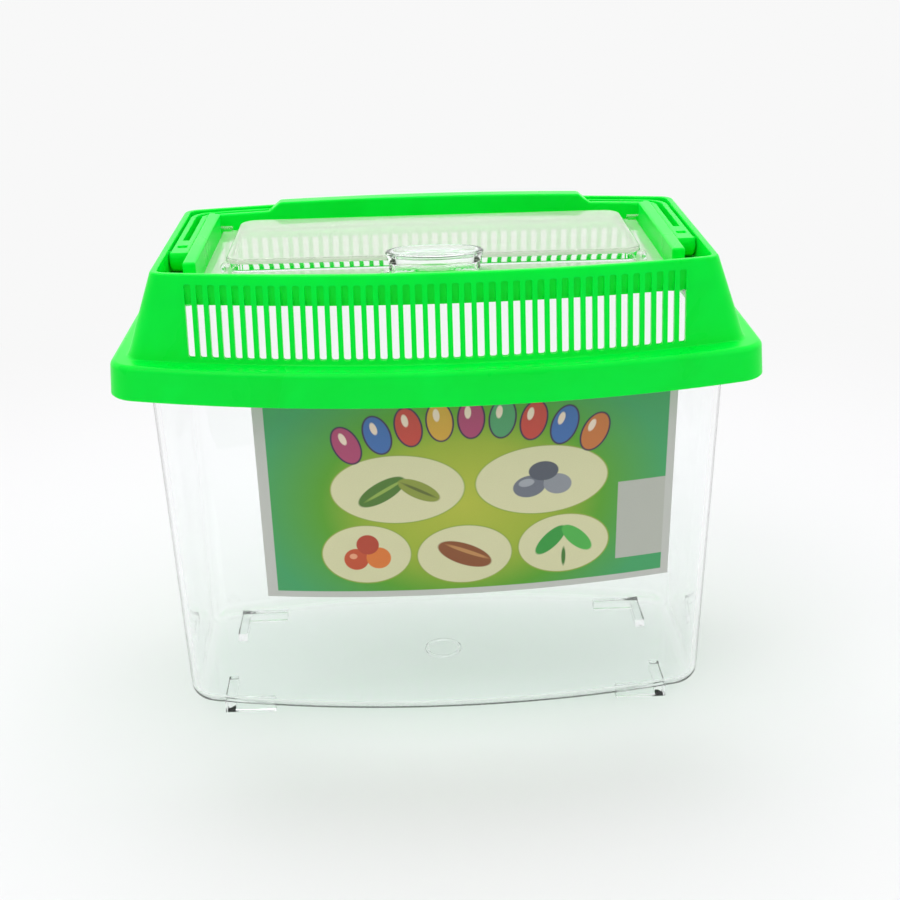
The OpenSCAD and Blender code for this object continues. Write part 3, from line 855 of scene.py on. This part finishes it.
@dataclass
class Tub:
    """The clear tub: a bowed, tapered box with a flange and lip round its mouth, on four feet.

    Sizes are in mm, as in the CAD source.
    """

    base: Outline = Outline(79.1, 37.95, 320.0, 9.0)
    mouth: Outline = Outline(80.6, 47.7, 280.0, 9.0)
    flange: Outline = Outline(87.1, 54.2, 286.5, 6.9)
    floor_z: float = 3.0
    top_z: float = 117.6
    wall: float = 1.8
    floor: float = 2.0
    floor_r: float = 5.0
    flange_t: float = 1.8
    lip_h: float = 3.2
    lip_t: float = 1.4
    feet: Pair = (68.4, 28.8)  # outer corner of a foot
    foot_arm: float = 15.5
    foot_w: float = 3.0
    gate_r: float = 5.4
    level: float = 0.8  # from the end of a floor's rounding to the ring inside it
    heights: tuple[float, ...] = (90.0, 60.0, 30.0)  # of the rings between the wall's ends

    def wall_at(self, z: float | Array, out: float | Array) -> Outline:
        """The wall's outline at a height, moved out by a distance; for many heights at once if need be."""
        share = (z - self.floor_z) / (self.top_z - self.floor_z)
        return self.base.blended(self.mouth, share).grown(out)

    def ring(self, z: float, out: float) -> Array:
        """The wall's outline as points at height z, moved out by a distance."""
        return self.wall_at(z, out).ring(z)

    def bowl(self, z: float, radius: float, out: float) -> list[Array]:
        """Rings of the rounding between a floor at height z and the wall at a distance out.

        They lie at z + r(1 - cos t), out - r(1 - sin t), for t from 0 to 90 degrees.

        Args:
            z: height of the floor, mm.
            radius: the rounding's radius, mm.
            out: how far the wall stands outside the tub's outline, mm.

        Returns:
            Rings of points (n, 3), from the floor up.
        """
        turns = np.radians(np.linspace(0, 90, 9))
        return [self.ring(z + radius * (1 - math.cos(t)), out - radius * (1 - math.sin(t))) for t in turns]

    def shell(self) -> Shape:
        """The tub's skin: inner floor, inner wall, flange, lip, outer wall, outer floor.

        Returns:
            The tub's closed wall, without its feet.
        """
        top, low = self.top_z, self.top_z - self.flange_t
        hem = low - self.lip_h
        inside = self.floor_z + self.floor
        rings = [self.ring(inside, -self.floor_r - self.level)]
        rings += self.bowl(inside, max(self.floor_r - self.wall, 1.0), -self.wall)
        rings += [self.ring(z, -self.wall) for z in (9.2, *self.heights[::-1], 112.0, top - 1.5, top - 0.5)]
        rings += [self.ring(top - 0.15, 0.15 - self.wall), self.ring(top, 0.5 - self.wall)]
        rim = [(-0.6, top), (-0.25, top - 0.1), (-0.06, top - 0.3), (0.0, top - 0.6), (0.0, hem + 0.3),
               (-0.3, hem), (0.3 - self.lip_t, hem), (-self.lip_t, hem + 0.3), (-self.lip_t, low - 0.4),
               (-self.lip_t - 0.12, low - 0.12), (-self.lip_t - 0.4, low)]
        rings += [self.flange.grown(out).ring(z) for out, z in rim]
        rings += [self.ring(low, 0.8), self.ring(low - 0.25, 0.25), self.ring(low - 0.8, 0.0)]
        rings += [self.ring(z, 0.0) for z in (low - 1.8, *self.heights, 9.0)]
        rings += self.bowl(self.floor_z, self.floor_r, 0.0)[::-1]
        rings += [self.ring(self.floor_z, -self.floor_r - self.level)]
        return loft(np.stack(rings))

    def foot(self) -> Shape:
        """An L-shaped foot, narrowed a little towards the surface it stands on.

        Returns:
            The foot in the right-hand rear corner.
        """
        x, y = self.feet
        arm, w = self.foot_arm, self.foot_w
        plan = [[0, 0], [0, -arm], [-w, -arm], [-w, -w], [-arm, -w], [-arm, 0]]
        levels = [(0.5, 0.0), (0.15, 0.15), (0.0, 0.5), (0.0, self.floor_z + self.floor - 0.05)]
        return prism(np.array([x, y]) + plan, levels)

    def build(self, material: Material) -> None:
        """Makes the tub with its feet and the ring round its moulding gate.

        Args:
            material: the finish that the piece wears.
        """
        piece = make_piece("tub_shell", self.shell())
        join(piece, self.foot().doubled(Axis.X).doubled(Axis.Y), Join.ADD)
        ring = [(self.gate_r + d, self.gate_r + d, self.floor_z + z) for d, z in (
            (0.3, -0.5), (0.5, -0.3), (0.5, 0.5), (-0.5, 0.5), (-0.5, -0.3), (-0.3, -0.5))]
        join(piece, turned_z(ring, wrap=True), Join.ADD)
        finish_piece(piece, material, Slot.CLEAR, Body.TUB, "tub")


@dataclass
class Label:
    """The printed label on the tub's front: a thin sheet that follows the bowed wall."""

    tub: Tub = field(default_factory=Tub)
    width: float = 117.6
    middle: float = 7.4
    low: float = 46.1
    high: float = 111.0
    tilt: float = 0.8  # degrees, right side up
    gap: float = 0.1
    thick: float = 0.25

    def point(self, u: Array, v: Array, out: Array) -> Array:
        """Points of the sheet: x = middle + width (u - 1/2), z = low + (high - low) v + rise, y on the wall.

        The rise is (x - middle) tan(tilt).

        Args:
            u: share of the way along, per point.
            v: share of the way up, per point.
            out: distance in front of the wall, mm, per point.

        Returns:
            Points (..., 3) in mm.
        """
        x = self.middle + self.width * (u - 0.5)
        z = self.low + (self.high - self.low) * v + (x - self.middle) * math.tan(math.radians(self.tilt))
        return np.stack([x, -self.tub.wall_at(z, out).side_y(x), z], -1)

    def build(self, material: Material) -> None:
        """Makes the sheet as a loft along its length, with a UV map that covers its face.

        Args:
            material: the finish that the piece wears.
        """
        up = np.linspace(0, 1, 9)
        u, v = np.meshgrid(np.linspace(0, 1, 97), np.concatenate([up, up[::-1]]), indexing="ij")
        out = np.repeat([self.gap + self.thick, self.gap], len(up))
        piece = make_piece("label_sheet", loft(self.point(u, v, out)))
        mesh = piece.data
        corner = np.zeros(len(mesh.loops), int)
        mesh.loops.foreach_get("vertex_index", corner)
        uv = np.stack([u, v], -1).reshape(-1, 2)[corner]
        mesh.uv_layers.new(name="label").data.foreach_set("uv", uv.ravel())
        finish_piece(piece, material, Slot.PRINT, Body.TUB, "label")


# ---- lid ----


@dataclass
class Lid:
    """The green lid: a skirt over the tub's flange, a slotted crown, and a pan with two rails."""

    skirt: Outline = Outline(89.2, 56.3, 288.6, 9.0)
    foot: Outline = Outline(84.8, 50.5, 288.6, 6.0)
    rim: Outline = Outline(76.4, 45.7, 344.0, 4.0)
    pan: Outline = Outline(74.7, 44.0, 344.0, 3.0)
    opening: Outline = Outline(62.35, 28.75, STRAIGHT, 4.0, -2.25)
    thick: float = 1.6
    pan_wall: float = 1.4
    skirt_z: float = 109.8
    ledge_z: float = 119.4
    rim_z: float = 143.0
    deck_z: float = 136.2
    rail_z: float = 143.6
    draft: float = 0.8
    skirt_round: float = 1.5
    rim_rounds: Pair = (0.5, 0.4)  # outer and inner
    rail_round: float = 0.7
    slots: int = 42
    pitch: float = 3.22
    slot_w: float = 1.85
    slot_low: float = 120.8
    slot_high: float = 140.4
    slot_round: float = 0.55
    slot_reach: Pair = (0.1, 9.0)  # of a cutter: behind the pan's outside, and from there to its front
    rail_x: Pair = (64.8, 68.4)
    rail_y: float = 29.8
    rib_xs: tuple[float, ...] = (-60.0, -30.0, 0.0, 30.0, 60.0)
    rib_w: float = 1.2
    rib_len: float = 5.0
    rib_gap: float = 0.25  # from a rib to the tub's flange
    rib_root: float = 0.8  # how far a rib reaches into the skirt and the ledge
    hinge: Triple = (29.0, 138.2, 1.45)  # y, z and radius of the bores
    pivot: Triple = (-10.5, 140.4, 1.85)  # y, z and radius of the bores
    bore_deep: Pair = (1.7, 1.3)  # of the hinge bores and the pivot bores

    def skirt_at(self, z: float, out: float) -> Step:
        """The skirt's outline at height z; it spreads as it goes down."""
        return self.skirt, out + self.draft * (self.ledge_z - z) / (self.ledge_z - self.skirt_z), z

    def crown_at(self, z: float, out: float) -> Step:
        """The crown's outline at height z; it leans in as it goes up."""
        share = (z - self.ledge_z) / (self.rim_z - self.ledge_z)
        return self.foot.blended(self.rim, share), out, z

    def moulding(self) -> Shape:
        """The whole lid's section carried round: skirt, ledge, crown, rim, pan, deck and back again.

        Returns:
            The lid's closed wall, without rails, slots, bores and ribs.
        """
        low, ledge, rim, deck, t = self.skirt_z, self.ledge_z, self.rim_z, self.deck_z, self.thick
        under = ledge - t
        wall, bend, (outer, inner) = self.pan_wall, self.skirt_round, self.rim_rounds
        crease = deck - 0.3  # where the gap between the crown and the pan closes
        profile = [self.skirt_at(low, -0.3), self.skirt_at(low + 0.3, 0.0)]
        profile += [self.skirt_at(z, out) for out, z in rounding(ledge - bend, bend, 0, 90, 7)]
        profile += steps_on(self.foot, (0.7, ledge), (0.2, ledge + 0.2))
        profile += [self.crown_at(z, 0.0) for z in (ledge + 0.7, 127.0, 135.0)]
        profile += [self.crown_at(z, out) for out, z in rounding(rim - outer, outer, 0, 90, 5)]
        profile += steps_on(self.pan, *rounding(rim - inner, inner, 90, 0, 4) * [-1, 1])
        profile += steps_on(self.pan, (0.0, deck + 0.8), (-0.25, deck + 0.25), (-0.8, deck))
        profile += steps_on(
            self.opening, (0.3, deck), (0.0, deck - 0.3), (0.0, deck - t + 0.3), (0.3, deck - t))
        profile += steps_on(self.pan, (wall, deck - t), (wall, crease), (wall + 0.15, crease))
        profile += [self.crown_at(z, -t) for z in (132.0, 127.0, under)]
        profile += [self.skirt_at(under, -t - 0.4), self.skirt_at(under - 0.4, -t)]
        profile += [self.skirt_at(low + 0.3, -t), self.skirt_at(low, 0.3 - t)]
        return profile_loft(profile, wrap=True)

    def slot_cuts(self) -> Shape:
        """A cutter for each slot, from outside the wall to the back of its pocket, with rounded ends.

        Returns:
            All cutters of both long sides as one shape.
        """
        w, low, high = self.slot_w / 2, self.slot_low, self.slot_high
        t = np.radians(np.arange(0, 91, 22.5))
        r = self.slot_round
        arc = np.stack([w - r + r * np.cos(t), r - r * np.sin(t)], -1)
        right = np.concatenate([arc[::-1] + [0, low], arc * [1, -1] + [0, high]])
        side = np.concatenate([right, right[::-1] * [-1, 1]])
        cuts = []
        for i in range(self.slots):
            x = self.pitch * (i - (self.slots - 1) / 2)
            back = self.pan.grown(self.pan_wall).side_y(abs(x) + w) + self.slot_reach[0]
            rings = [np.insert(side + [x, 0.0], 1, y, axis=1) for y in (-back, -back - self.slot_reach[1])]
            cuts.append(loft(np.stack(rings)).doubled(Axis.Y))
        return sum(cuts[1:], cuts[0])

    def rail(self) -> Shape:
        """The right-hand rail beside the hatch, with a rounded top.

        Returns:
            The solid rail, sunk into the deck.
        """
        x0, x1 = self.rail_x
        flat = Outline((x1 - x0) / 2, self.rail_y, STRAIGHT, 0.9)
        r, root = self.rail_round, self.deck_z - self.thick + 0.2
        profile = steps_on(flat, (0.0, root), *rounding(self.rail_z - r, r, 0, 90, 5))
        return profile_loft(profile).moved((x0 + x1) / 2)

    def sockets(self) -> list[Shape]:
        """Cutters for the right-hand hinge bore, its slit, and the pivot bore.

        Returns:
            The three cutters.
        """
        (y, z, r), (deep, pivot_deep) = self.hinge, self.bore_deep
        x0, half = self.rail_x[0], r * 0.7
        bore = turned_x([(x0 - 1, r), (x0 + deep, r)], y, z)
        slit = box((x0 - 1.1, y - half, z), (x0 + deep - 0.01, y + half, self.rail_z + 1))
        y, z, r = self.pivot
        x0 = self.pan.length
        return [bore, slit, turned_x([(x0 - 1, r), (x0 + pivot_deep, r)], y, z)]

    def ribs(self) -> Shape:
        """Crush ribs inside the skirt's long sides.

        Returns:
            All ribs of both long sides as one shape.
        """
        inside = self.skirt.grown(-self.thick)
        top, root = self.ledge_z - self.thick, self.rib_root
        half = self.rib_w / 2
        ribs = []
        for x in self.rib_xs:
            y = inside.side_y(abs(x) + half)
            rib = box((x - half, y - self.rib_gap, top - self.rib_len), (x + half, y + root, top + root))
            ribs.append(rib.doubled(Axis.Y))
        return sum(ribs[1:], ribs[0])

    def build(self, material: Material) -> None:
        """Makes the lid in one piece: rails added, slots and bores cut.

        Args:
            material: the finish that the piece wears.
        """
        piece = make_piece("lid_moulding", self.moulding())
        join(piece, self.rail().doubled(Axis.X), Join.ADD)
        join(piece, self.slot_cuts(), Join.CUT)
        for cut in self.sockets():
            join(piece, cut.doubled(Axis.X), Join.CUT)
        join(piece, self.ribs(), Join.ADD)
        finish_piece(piece, material, Slot.GREEN, Body.LID, "lid")


# ---- hatch ----


@dataclass
class Hatch:
    """The clear hatch: a plate with a raised window, a dished knob, two nubs and two hinge pins."""

    plate: Outline = Outline(64.35, 32.05, STRAIGHT, 0.8, -2.45)
    window: Outline = Outline(58.25, 24.0, STRAIGHT, 5.0, 3.8)
    low: float = 136.4
    thick: float = 1.6
    rise: float = 3.5
    window_round: float = 0.7
    knob: Triple = (-25.7, 13.5, 6.5)  # y and half axes
    knob_h: float = 6.2
    dish: float = 1.6
    nub: Triple = (57.5, -23.2, 1.5)  # x, y and radius
    hinge: Triple = (29.0, 138.2, 1.2)  # y, z and radius of the pins
    pin_x: Pair = (61.35, 66.1)

    def panel(self) -> Shape:
        """Plate and window as one skin, from the window's top down and round to its hollow.

        Returns:
            The closed plate with its window.
        """
        low, high = self.low, self.low + self.thick
        top, hollow = high + self.rise, self.low + self.rise
        r = self.window_round
        profile = steps_on(
            self.window, (-1.4, top), *rounding(top - r, r, 90, 0), (0.05, top - 1.1), (0.3, high + 0.8),
            (0.35, high + 0.5), (0.5, high + 0.2), (0.8, high))
        profile += steps_on(
            self.plate, (-0.6, high), (-0.3, high), (0.0, high - 0.3), (0.0, low + 0.3), (-0.3, low),
            (-0.6, low))
        profile += steps_on(
            self.window.grown(-self.thick), (0.8, low), (0.5, low + 0.3), (0.45, low + 0.7),
            (0.05, hollow - 0.9), (0.0, hollow - 0.5), (-0.15, hollow - 0.15), (-0.5, hollow), (-1.2, hollow))
        return profile_loft(profile)

    def knob_body(self) -> Shape:
        """The knob: a waisted oval with a rounded lip and a dish in its top.

        Returns:
            The solid knob, sunk into the plate.
        """
        y, rx, ry = self.knob
        z = self.low + self.thick
        h = self.knob_h
        profile = [(-1.0, -0.8), (-1.0, 0.35 * h), (-0.75, 0.5 * h), (-0.45, 0.65 * h), (-0.1, h - 1.1),
                   (0.0, h - 0.8), (0.0, h - 0.5), (-0.12, h - 0.2), (-0.35, h - 0.04), (-0.7, h),
                   (-1.2, h), (-1.5, h - 0.12), (-1.8, h - 0.45), (-2.3, h - 0.9), (-3.0, h - 1.35),
                   (-3.9, h - self.dish), (-5.0, h - self.dish - 0.05)]
        return turned_z([(rx + d, ry + d, z + up) for d, up in profile], 0.0, y, 64)

    def knob_hollow(self) -> Shape:
        """The hollow under the knob.

        Returns:
            The cutter, open below the plate.
        """
        y, rx, ry = self.knob
        top = self.low + self.knob_h - self.dish
        profile = [(-2.2, self.low - 1), (-2.2, self.low), (-2.6, top - 0.6), (-2.8, top - 0.15), (-3.3, top)]
        return turned_z([(rx + d, ry + d, z) for d, z in profile], 0.0, y, 64)

    def nub_body(self) -> Shape:
        """A stop nub: an upright pin with a round end.

        Returns:
            The right-hand nub, sunk into the plate.
        """
        x, y, r = self.nub
        z = self.low + self.thick
        top = z + self.rise + 0.3 - r
        turns = np.radians([0, 20, 40, 60, 76, 86])
        arc = [(r * math.cos(t), r * math.cos(t), top + r * math.sin(t)) for t in turns]
        return turned_z([(r, r, z - 0.8), *arc], x, y, 28)

    def pin_root(self) -> Shape:
        """The block that ties the right-hand pin to the plate."""
        y, z, r = self.hinge
        return box((self.pin_x[0], y - r, self.low + self.thick / 2), (self.plate.length, y + 0.6, z))

    def build(self, material: Material) -> None:
        """Makes the hatch in one piece.

        Args:
            material: the finish that the piece wears.
        """
        piece = make_piece("hatch_panel", self.panel())
        join(piece, self.knob_body(), Join.ADD)
        join(piece, self.knob_hollow(), Join.CUT)
        for shape in (self.nub_body(), self.pin_root(), pin_shape(*self.pin_x, *self.hinge)):
            join(piece, shape.doubled(Axis.X), Join.ADD)
        finish_piece(piece, material, Slot.CLEAR, Body.HATCH, "hatch")


# ---- handle ----


@dataclass
class Handle:
    """The green carry handle: a grooved U-shaped strap with a raised, cored grip and two pivots."""

    strap: Outline = Outline(74.25, 43.4, 344.0, 7.0)
    width: float = 5.4
    low: float = 136.4
    height: float = 6.0
    edge_r: float = 0.7  # of the top's rounded edges
    groove_w: float = 1.8
    web: float = 1.6
    grip: float = 46.5  # half length
    ramp: float = 4.0
    rise: float = 2.6
    core: float = 42.5  # half length of the hollow under the grip
    groove_y: float = 0.0  # where the arm's groove ends and its pad begins
    pivot: Pair = (-10.5, 140.4)  # y and z
    knuckle: float = 4.0
    pin_r: float = 1.6
    pin_x: Pair = (73.25, 75.75)
    recess: Triple = (2.6, -7.0, 1.0)  # width, middle's y, depth

    def columns(self) -> Array:
        """The x of the sections along the long side, close together where the section changes.

        Returns:
            The x of each section from the middle to the corner, mm.
        """
        grip, ramp = self.grip, self.ramp
        end = grip + ramp
        return np.array([
            1.5, 8, 16, 24, 32, 39, self.core - 0.03, self.core + 0.03, 44.5, grip - 1, grip - 0.5, grip,
            grip + 0.6, grip + 0.5 * ramp, end - 0.5, end, end + 0.06, end + 0.4, 53, 57, 61, 64.5])

    def arm_ys(self, start: float) -> Array:
        """The y of the sections down an arm, from its corner to its round end.

        Args:
            start: the y at which the corner ends, mm.

        Returns:
            The y of each section, mm.
        """
        g, (y, _), r = self.groove_y, self.pivot, self.knuckle
        bend = y - r * np.sin(np.radians([0, 10, 20, 30, 40, 50, 59, 61, 66, 72, 78, 83, 87]))
        straight = [g + 0.4, g + 0.03, g - 0.03, g - 0.4, -5]
        return np.concatenate([start * np.array([0.8, 0.6, 0.4, 0.2]), straight, bend])

    def path(self, inset: float) -> Array:
        """The strap's line at an inset from its outside: up the right arm, over, and down the left.

        Args:
            inset: distance in from the strap's outside, mm.

        Returns:
            A point (n, 2) for each section, mm.
        """
        line = self.strap
        line = replace(line, length=line.length - inset, depth=line.depth - inset,
                       corner=max(line.corner - inset, 1.0), corner_steps=10)
        q = line.quarter(self.columns())
        ys = self.arm_ys(q[-1, 1])
        half = np.concatenate([q, np.column_stack([np.full(len(ys), q[-1, 0]), ys])])
        return np.concatenate([half[::-1], half * [-1, 1]])

    def section(self, x: Array, y: Array) -> tuple[Array, Array]:
        """The strap's section at each place along it.

        The top rises by the grip's height on the ramps, the groove is open between the grip and the pads,
        and the core is open under the grip. Past the pivot the section ends as a circle does: its bottom
        is at z - sqrt(r^2 - d^2) at a distance d, and its top at z + sqrt(r^2 - d^2) or at the strap's.

        Args:
            x: place of each section along the length, mm.
            y: place of each section along the depth, mm.

        Returns:
            Insets (k,) of the section's points, and their heights (n, k).
        """
        w, edge, base = self.width, (self.width - self.groove_w) / 2, self.low + self.height
        py, pz = self.pivot
        chord = np.sqrt(self.knuckle**2 - np.clip(py - y, 0, self.knuckle) ** 2)
        low = pz - chord
        climb = np.clip((self.grip + self.ramp - np.abs(x)) / self.ramp, 0, 1)
        rise = self.rise * climb * climb * (3 - 2 * climb)
        top = np.minimum(base + rise, np.where(y < py, pz + chord, np.inf))
        bare = (np.abs(x) <= self.grip + self.ramp) | (y <= self.groove_y)
        dip = np.where(bare, top, self.low + self.web)
        hollow = np.where(np.abs(x) <= self.core, base + self.rise - self.web, low)
        r = np.minimum(self.edge_r, (top - low) / 3)
        sweep = np.radians([0, 18, 36, 54, 72, 90])
        outer = [(0.5, low), (0.15, low + r / 6), (0.0, low + r / 2)]
        outer += [(self.edge_r * (1 - math.cos(t)), top - r * (1 - math.sin(t))) for t in sweep]
        drop = np.where(bare, 0.0, 1.0)
        lip = [(edge - 0.25, top), (edge - 0.05, top - 0.15 * drop), (edge, top - 0.4 * drop),
               (edge + 0.02, dip + 0.3 * drop), (edge + 0.25, dip)]
        under = [(w - edge + 0.01, low), (w - edge, hollow), (edge, hollow), (edge - 0.01, low)]
        far = [(w - d, z) for d, z in (outer + lip)[::-1]]
        points = outer + lip + far + under
        return np.array([d for d, _ in points]), np.stack([z for _, z in points], -1)

    def strap_shape(self) -> Shape:
        """The strap: its section carried along the path, capped at the round ends.

        Returns:
            The strap without pins and recesses.
        """
        middle = self.path(self.width / 2)
        insets, heights = self.section(middle[:, 0], middle[:, 1])
        flat = np.stack([self.path(d) for d in insets], 1)
        return loft(np.concatenate([flat, heights[..., None]], -1))

    def pocket(self) -> Shape:
        """A cutter for the recess in the right-hand pad.

        Returns:
            The cutter, open above the pad.
        """
        size, y, deep = self.recess
        x = self.strap.length - self.width / 2
        top = self.low + self.height
        half = size / 2
        plan = half * np.array([[-1, 1], [1, 1], [1, -1], [-1, -1]])
        levels = [(0.25, -deep), (0.0, 0.25 - deep), (0.0, -0.2), (-0.2, 0.0), (-0.2, 1.0)]
        return prism(np.array([x, y]) + plan, [(d, top + z) for d, z in levels])

    def build(self, material: Material) -> None:
        """Makes the handle in one piece.

        Args:
            material: the finish that the piece wears.
        """
        piece = make_piece("handle_strap", self.strap_shape())
        pin = pin_shape(*self.pin_x, *self.pivot, self.pin_r)
        join(piece, pin.doubled(Axis.X), Join.ADD)
        join(piece, self.pocket().doubled(Axis.X), Join.CUT)
        finish_piece(piece, material, Slot.GREEN, Body.HANDLE, "handle")


# ---- studio ----


BACKDROP = "#F8F8F8"


@dataclass(frozen=True)
class StudioFloor(Finish):
    """A pale matt floor that shows white to the camera, apart from the object's soft shadow."""

    name: str = "studio_floor"
    colour: str = "#E7E6E8"
    fade: Pair = (0.12, 0.42)  # m from the middle, where the fade to the backdrop begins and ends

    def surface(self, tree: Tree, place: bpy.types.Node) -> Socket:
        """Matt paint, with a faint mottle far below what shows.

        Args:
            tree: the material's node tree.
            place: the node that gives the place on the piece.

        Returns:
            The surface's shader.
        """
        where = place.outputs["Object"]
        tone = remap(tree, noise(tree, where, 3.0, 2.0), to=(0.985, 1.0))
        paint = mix_colours(tree, 1.0, hex_colour(self.colour), tone, "MULTIPLY")
        matt = add_node(tree, "BsdfPrincipled", Base_Color=paint, Roughness=0.9, IOR=1.3).outputs[0]
        white = add_node(tree, "Emission", Color=hex_colour(BACKDROP), Strength=1.0).outputs[0]
        fade = remap(tree, vectors(tree, "LENGTH", where), self.fade, curve="SMOOTHSTEP")
        share = maths(tree, "MULTIPLY", fade, rays(tree, "Camera", "Transmission", "Glossy"))
        return mix_shaders(tree, share, matt, white)


@dataclass
class Studio:
    """Floor, white surround, soft lamps and the camera."""

    sensor: float = 36.0  # mm
    focal: float = 56.112  # mm
    place: Triple = (-7.1, -401.4, 241.2)  # mm
    yaw: float = 1.54  # degrees, to the right
    pitch: float = 22.7  # degrees, down
    roll: float = -1.32  # degrees
    bright_side: Triple = (0.0, 0.75, 0.66)  # where the surround is brightest
    shift: float = 2 / 900  # share of the picture's width
    spread: Pair = (-0.7, 0.8)  # where the surround is dimmest and brightest, as cosines from that side
    floor_size: float = 12.0  # m
    floor_gap: float = 0.02  # mm, between the floor and the feet

    def add_lamp(self, name: str, place: Triple, aim: Triple, size: Pair, watts: float) -> None:
        """Adds a rectangular lamp that points at a place; lengths are in metres.

        Args:
            name: the lamp's name.
            place: where it stands, m.
            aim: where it points, m.
            size: its width and height, m.
            watts: its power.
        """
        data = bpy.data.lights.new(name, "AREA")
        data.shape = "RECTANGLE"
        data.size, data.size_y = size
        data.energy = watts
        lamp = bpy.data.objects.new(name, data)
        lamp.rotation_euler = (Vector(aim) - Vector(place)).to_track_quat("-Z", "Y").to_euler()
        lamp.location = place
        bpy.context.scene.collection.objects.link(lamp)

    def add_camera(self) -> None:
        """Places the camera: facing +Y, rolled, then pitched down, then turned to the right."""
        yaw, pitch, roll = (math.radians(a) for a in (self.yaw, self.pitch, self.roll))
        data = bpy.data.cameras.new("camera")
        data.lens = self.focal
        data.sensor_width = self.sensor
        data.shift_y = self.shift
        camera = bpy.data.objects.new("camera", data)
        camera.matrix_world = (
            Matrix.Translation(Vector(self.place) * MM) @ Matrix.Rotation(-yaw, 4, "Z")
            @ Matrix.Rotation(math.pi / 2 - pitch, 4, "X") @ Matrix.Rotation(roll, 4, "Z"))
        bpy.context.scene.collection.objects.link(camera)
        bpy.context.scene.camera = camera

    def add_floor(self) -> None:
        """Adds the floor as a plane under the feet."""
        half = self.floor_size / 2 / MM
        corners = np.array([[-1, -1, 0], [1, -1, 0], [1, 1, 0], [-1, 1, 0]]) * half - [0, 0, self.floor_gap]
        floor = make_piece("floor", Shape(corners, [[0, 1, 2, 3]]))
        floor.data.materials.append(StudioFloor().build())

    def add_world(self, lit: Pair = (0.22, 1.2), mirrored: Pair = (0.7, 1.35)) -> None:
        """A soft surround, dim in front and bright behind, that the camera and clear plastic see as white.

        Args:
            lit: levels in front and behind, as they light matt surfaces.
            mirrored: levels in front and behind, as gloss mirrors them.
        """
        world = bpy.data.worlds.new("surround")
        world.use_nodes = True
        tree = world.node_tree
        tree.nodes.clear()
        way = add_node(tree, "TexCoord").outputs["Generated"]
        behind = vectors(tree, "DOT_PRODUCT", way, self.bright_side)
        gloss = rays(tree, "Glossy")
        ends = [add_node(tree, "Mix", i0=gloss, i2=a, i3=b).outputs[0] for a, b in zip(lit, mirrored)]
        glow = remap(tree, behind, self.spread, ends, "SMOOTHSTEP")
        seen = rays(tree, "Camera", "Transmission")
        level = add_node(tree, "Mix", i0=seen, i2=glow, i3=hex_colour(BACKDROP)[0])
        light = add_node(tree, "Background", Color=(1.0, 1.0, 1.0, 1.0), Strength=level.outputs[0])
        output = add_node(tree, "OutputWorld", Surface=light.outputs[0])
        output.is_active_output = True
        bpy.context.scene.world = world

    def build(self) -> None:
        """Makes the studio."""
        self.add_camera()
        self.add_floor()
        self.add_world()
        self.add_lamp("key", (-0.5, -0.6, 1.1), (0.0, 0.0, 0.08), (0.7, 0.7), 3.4)
        self.add_lamp("fill", (0.9, -0.5, 0.6), (0.0, 0.0, 0.08), (0.6, 0.6), 1.4)
        self.add_lamp("top", (0.0, 0.45, 1.2), (0.0, 0.0, 0.1), (0.9, 0.5), 2.4)
        bpy.context.scene.view_settings.view_transform = "Standard"


def main() -> None:
    """Builds the studio and every piece in turn."""
    Studio().build()
    clear = ClearPolystyrene().build()
    green = GreenPolypropylene().build()
    Tub().build(clear)
    Label().build(PrintedCard().build())
    Lid().build(green)
    # the hatch's level faces get a painted milky sheen that stands in for the reflection of the bright
    # surround
    Hatch().build(ClearPolystyrene("polystyrene_painted_sheen", painted_sheen=0.42).build())
    Handle().build(green)


if __name__ == "__main__":
    main()
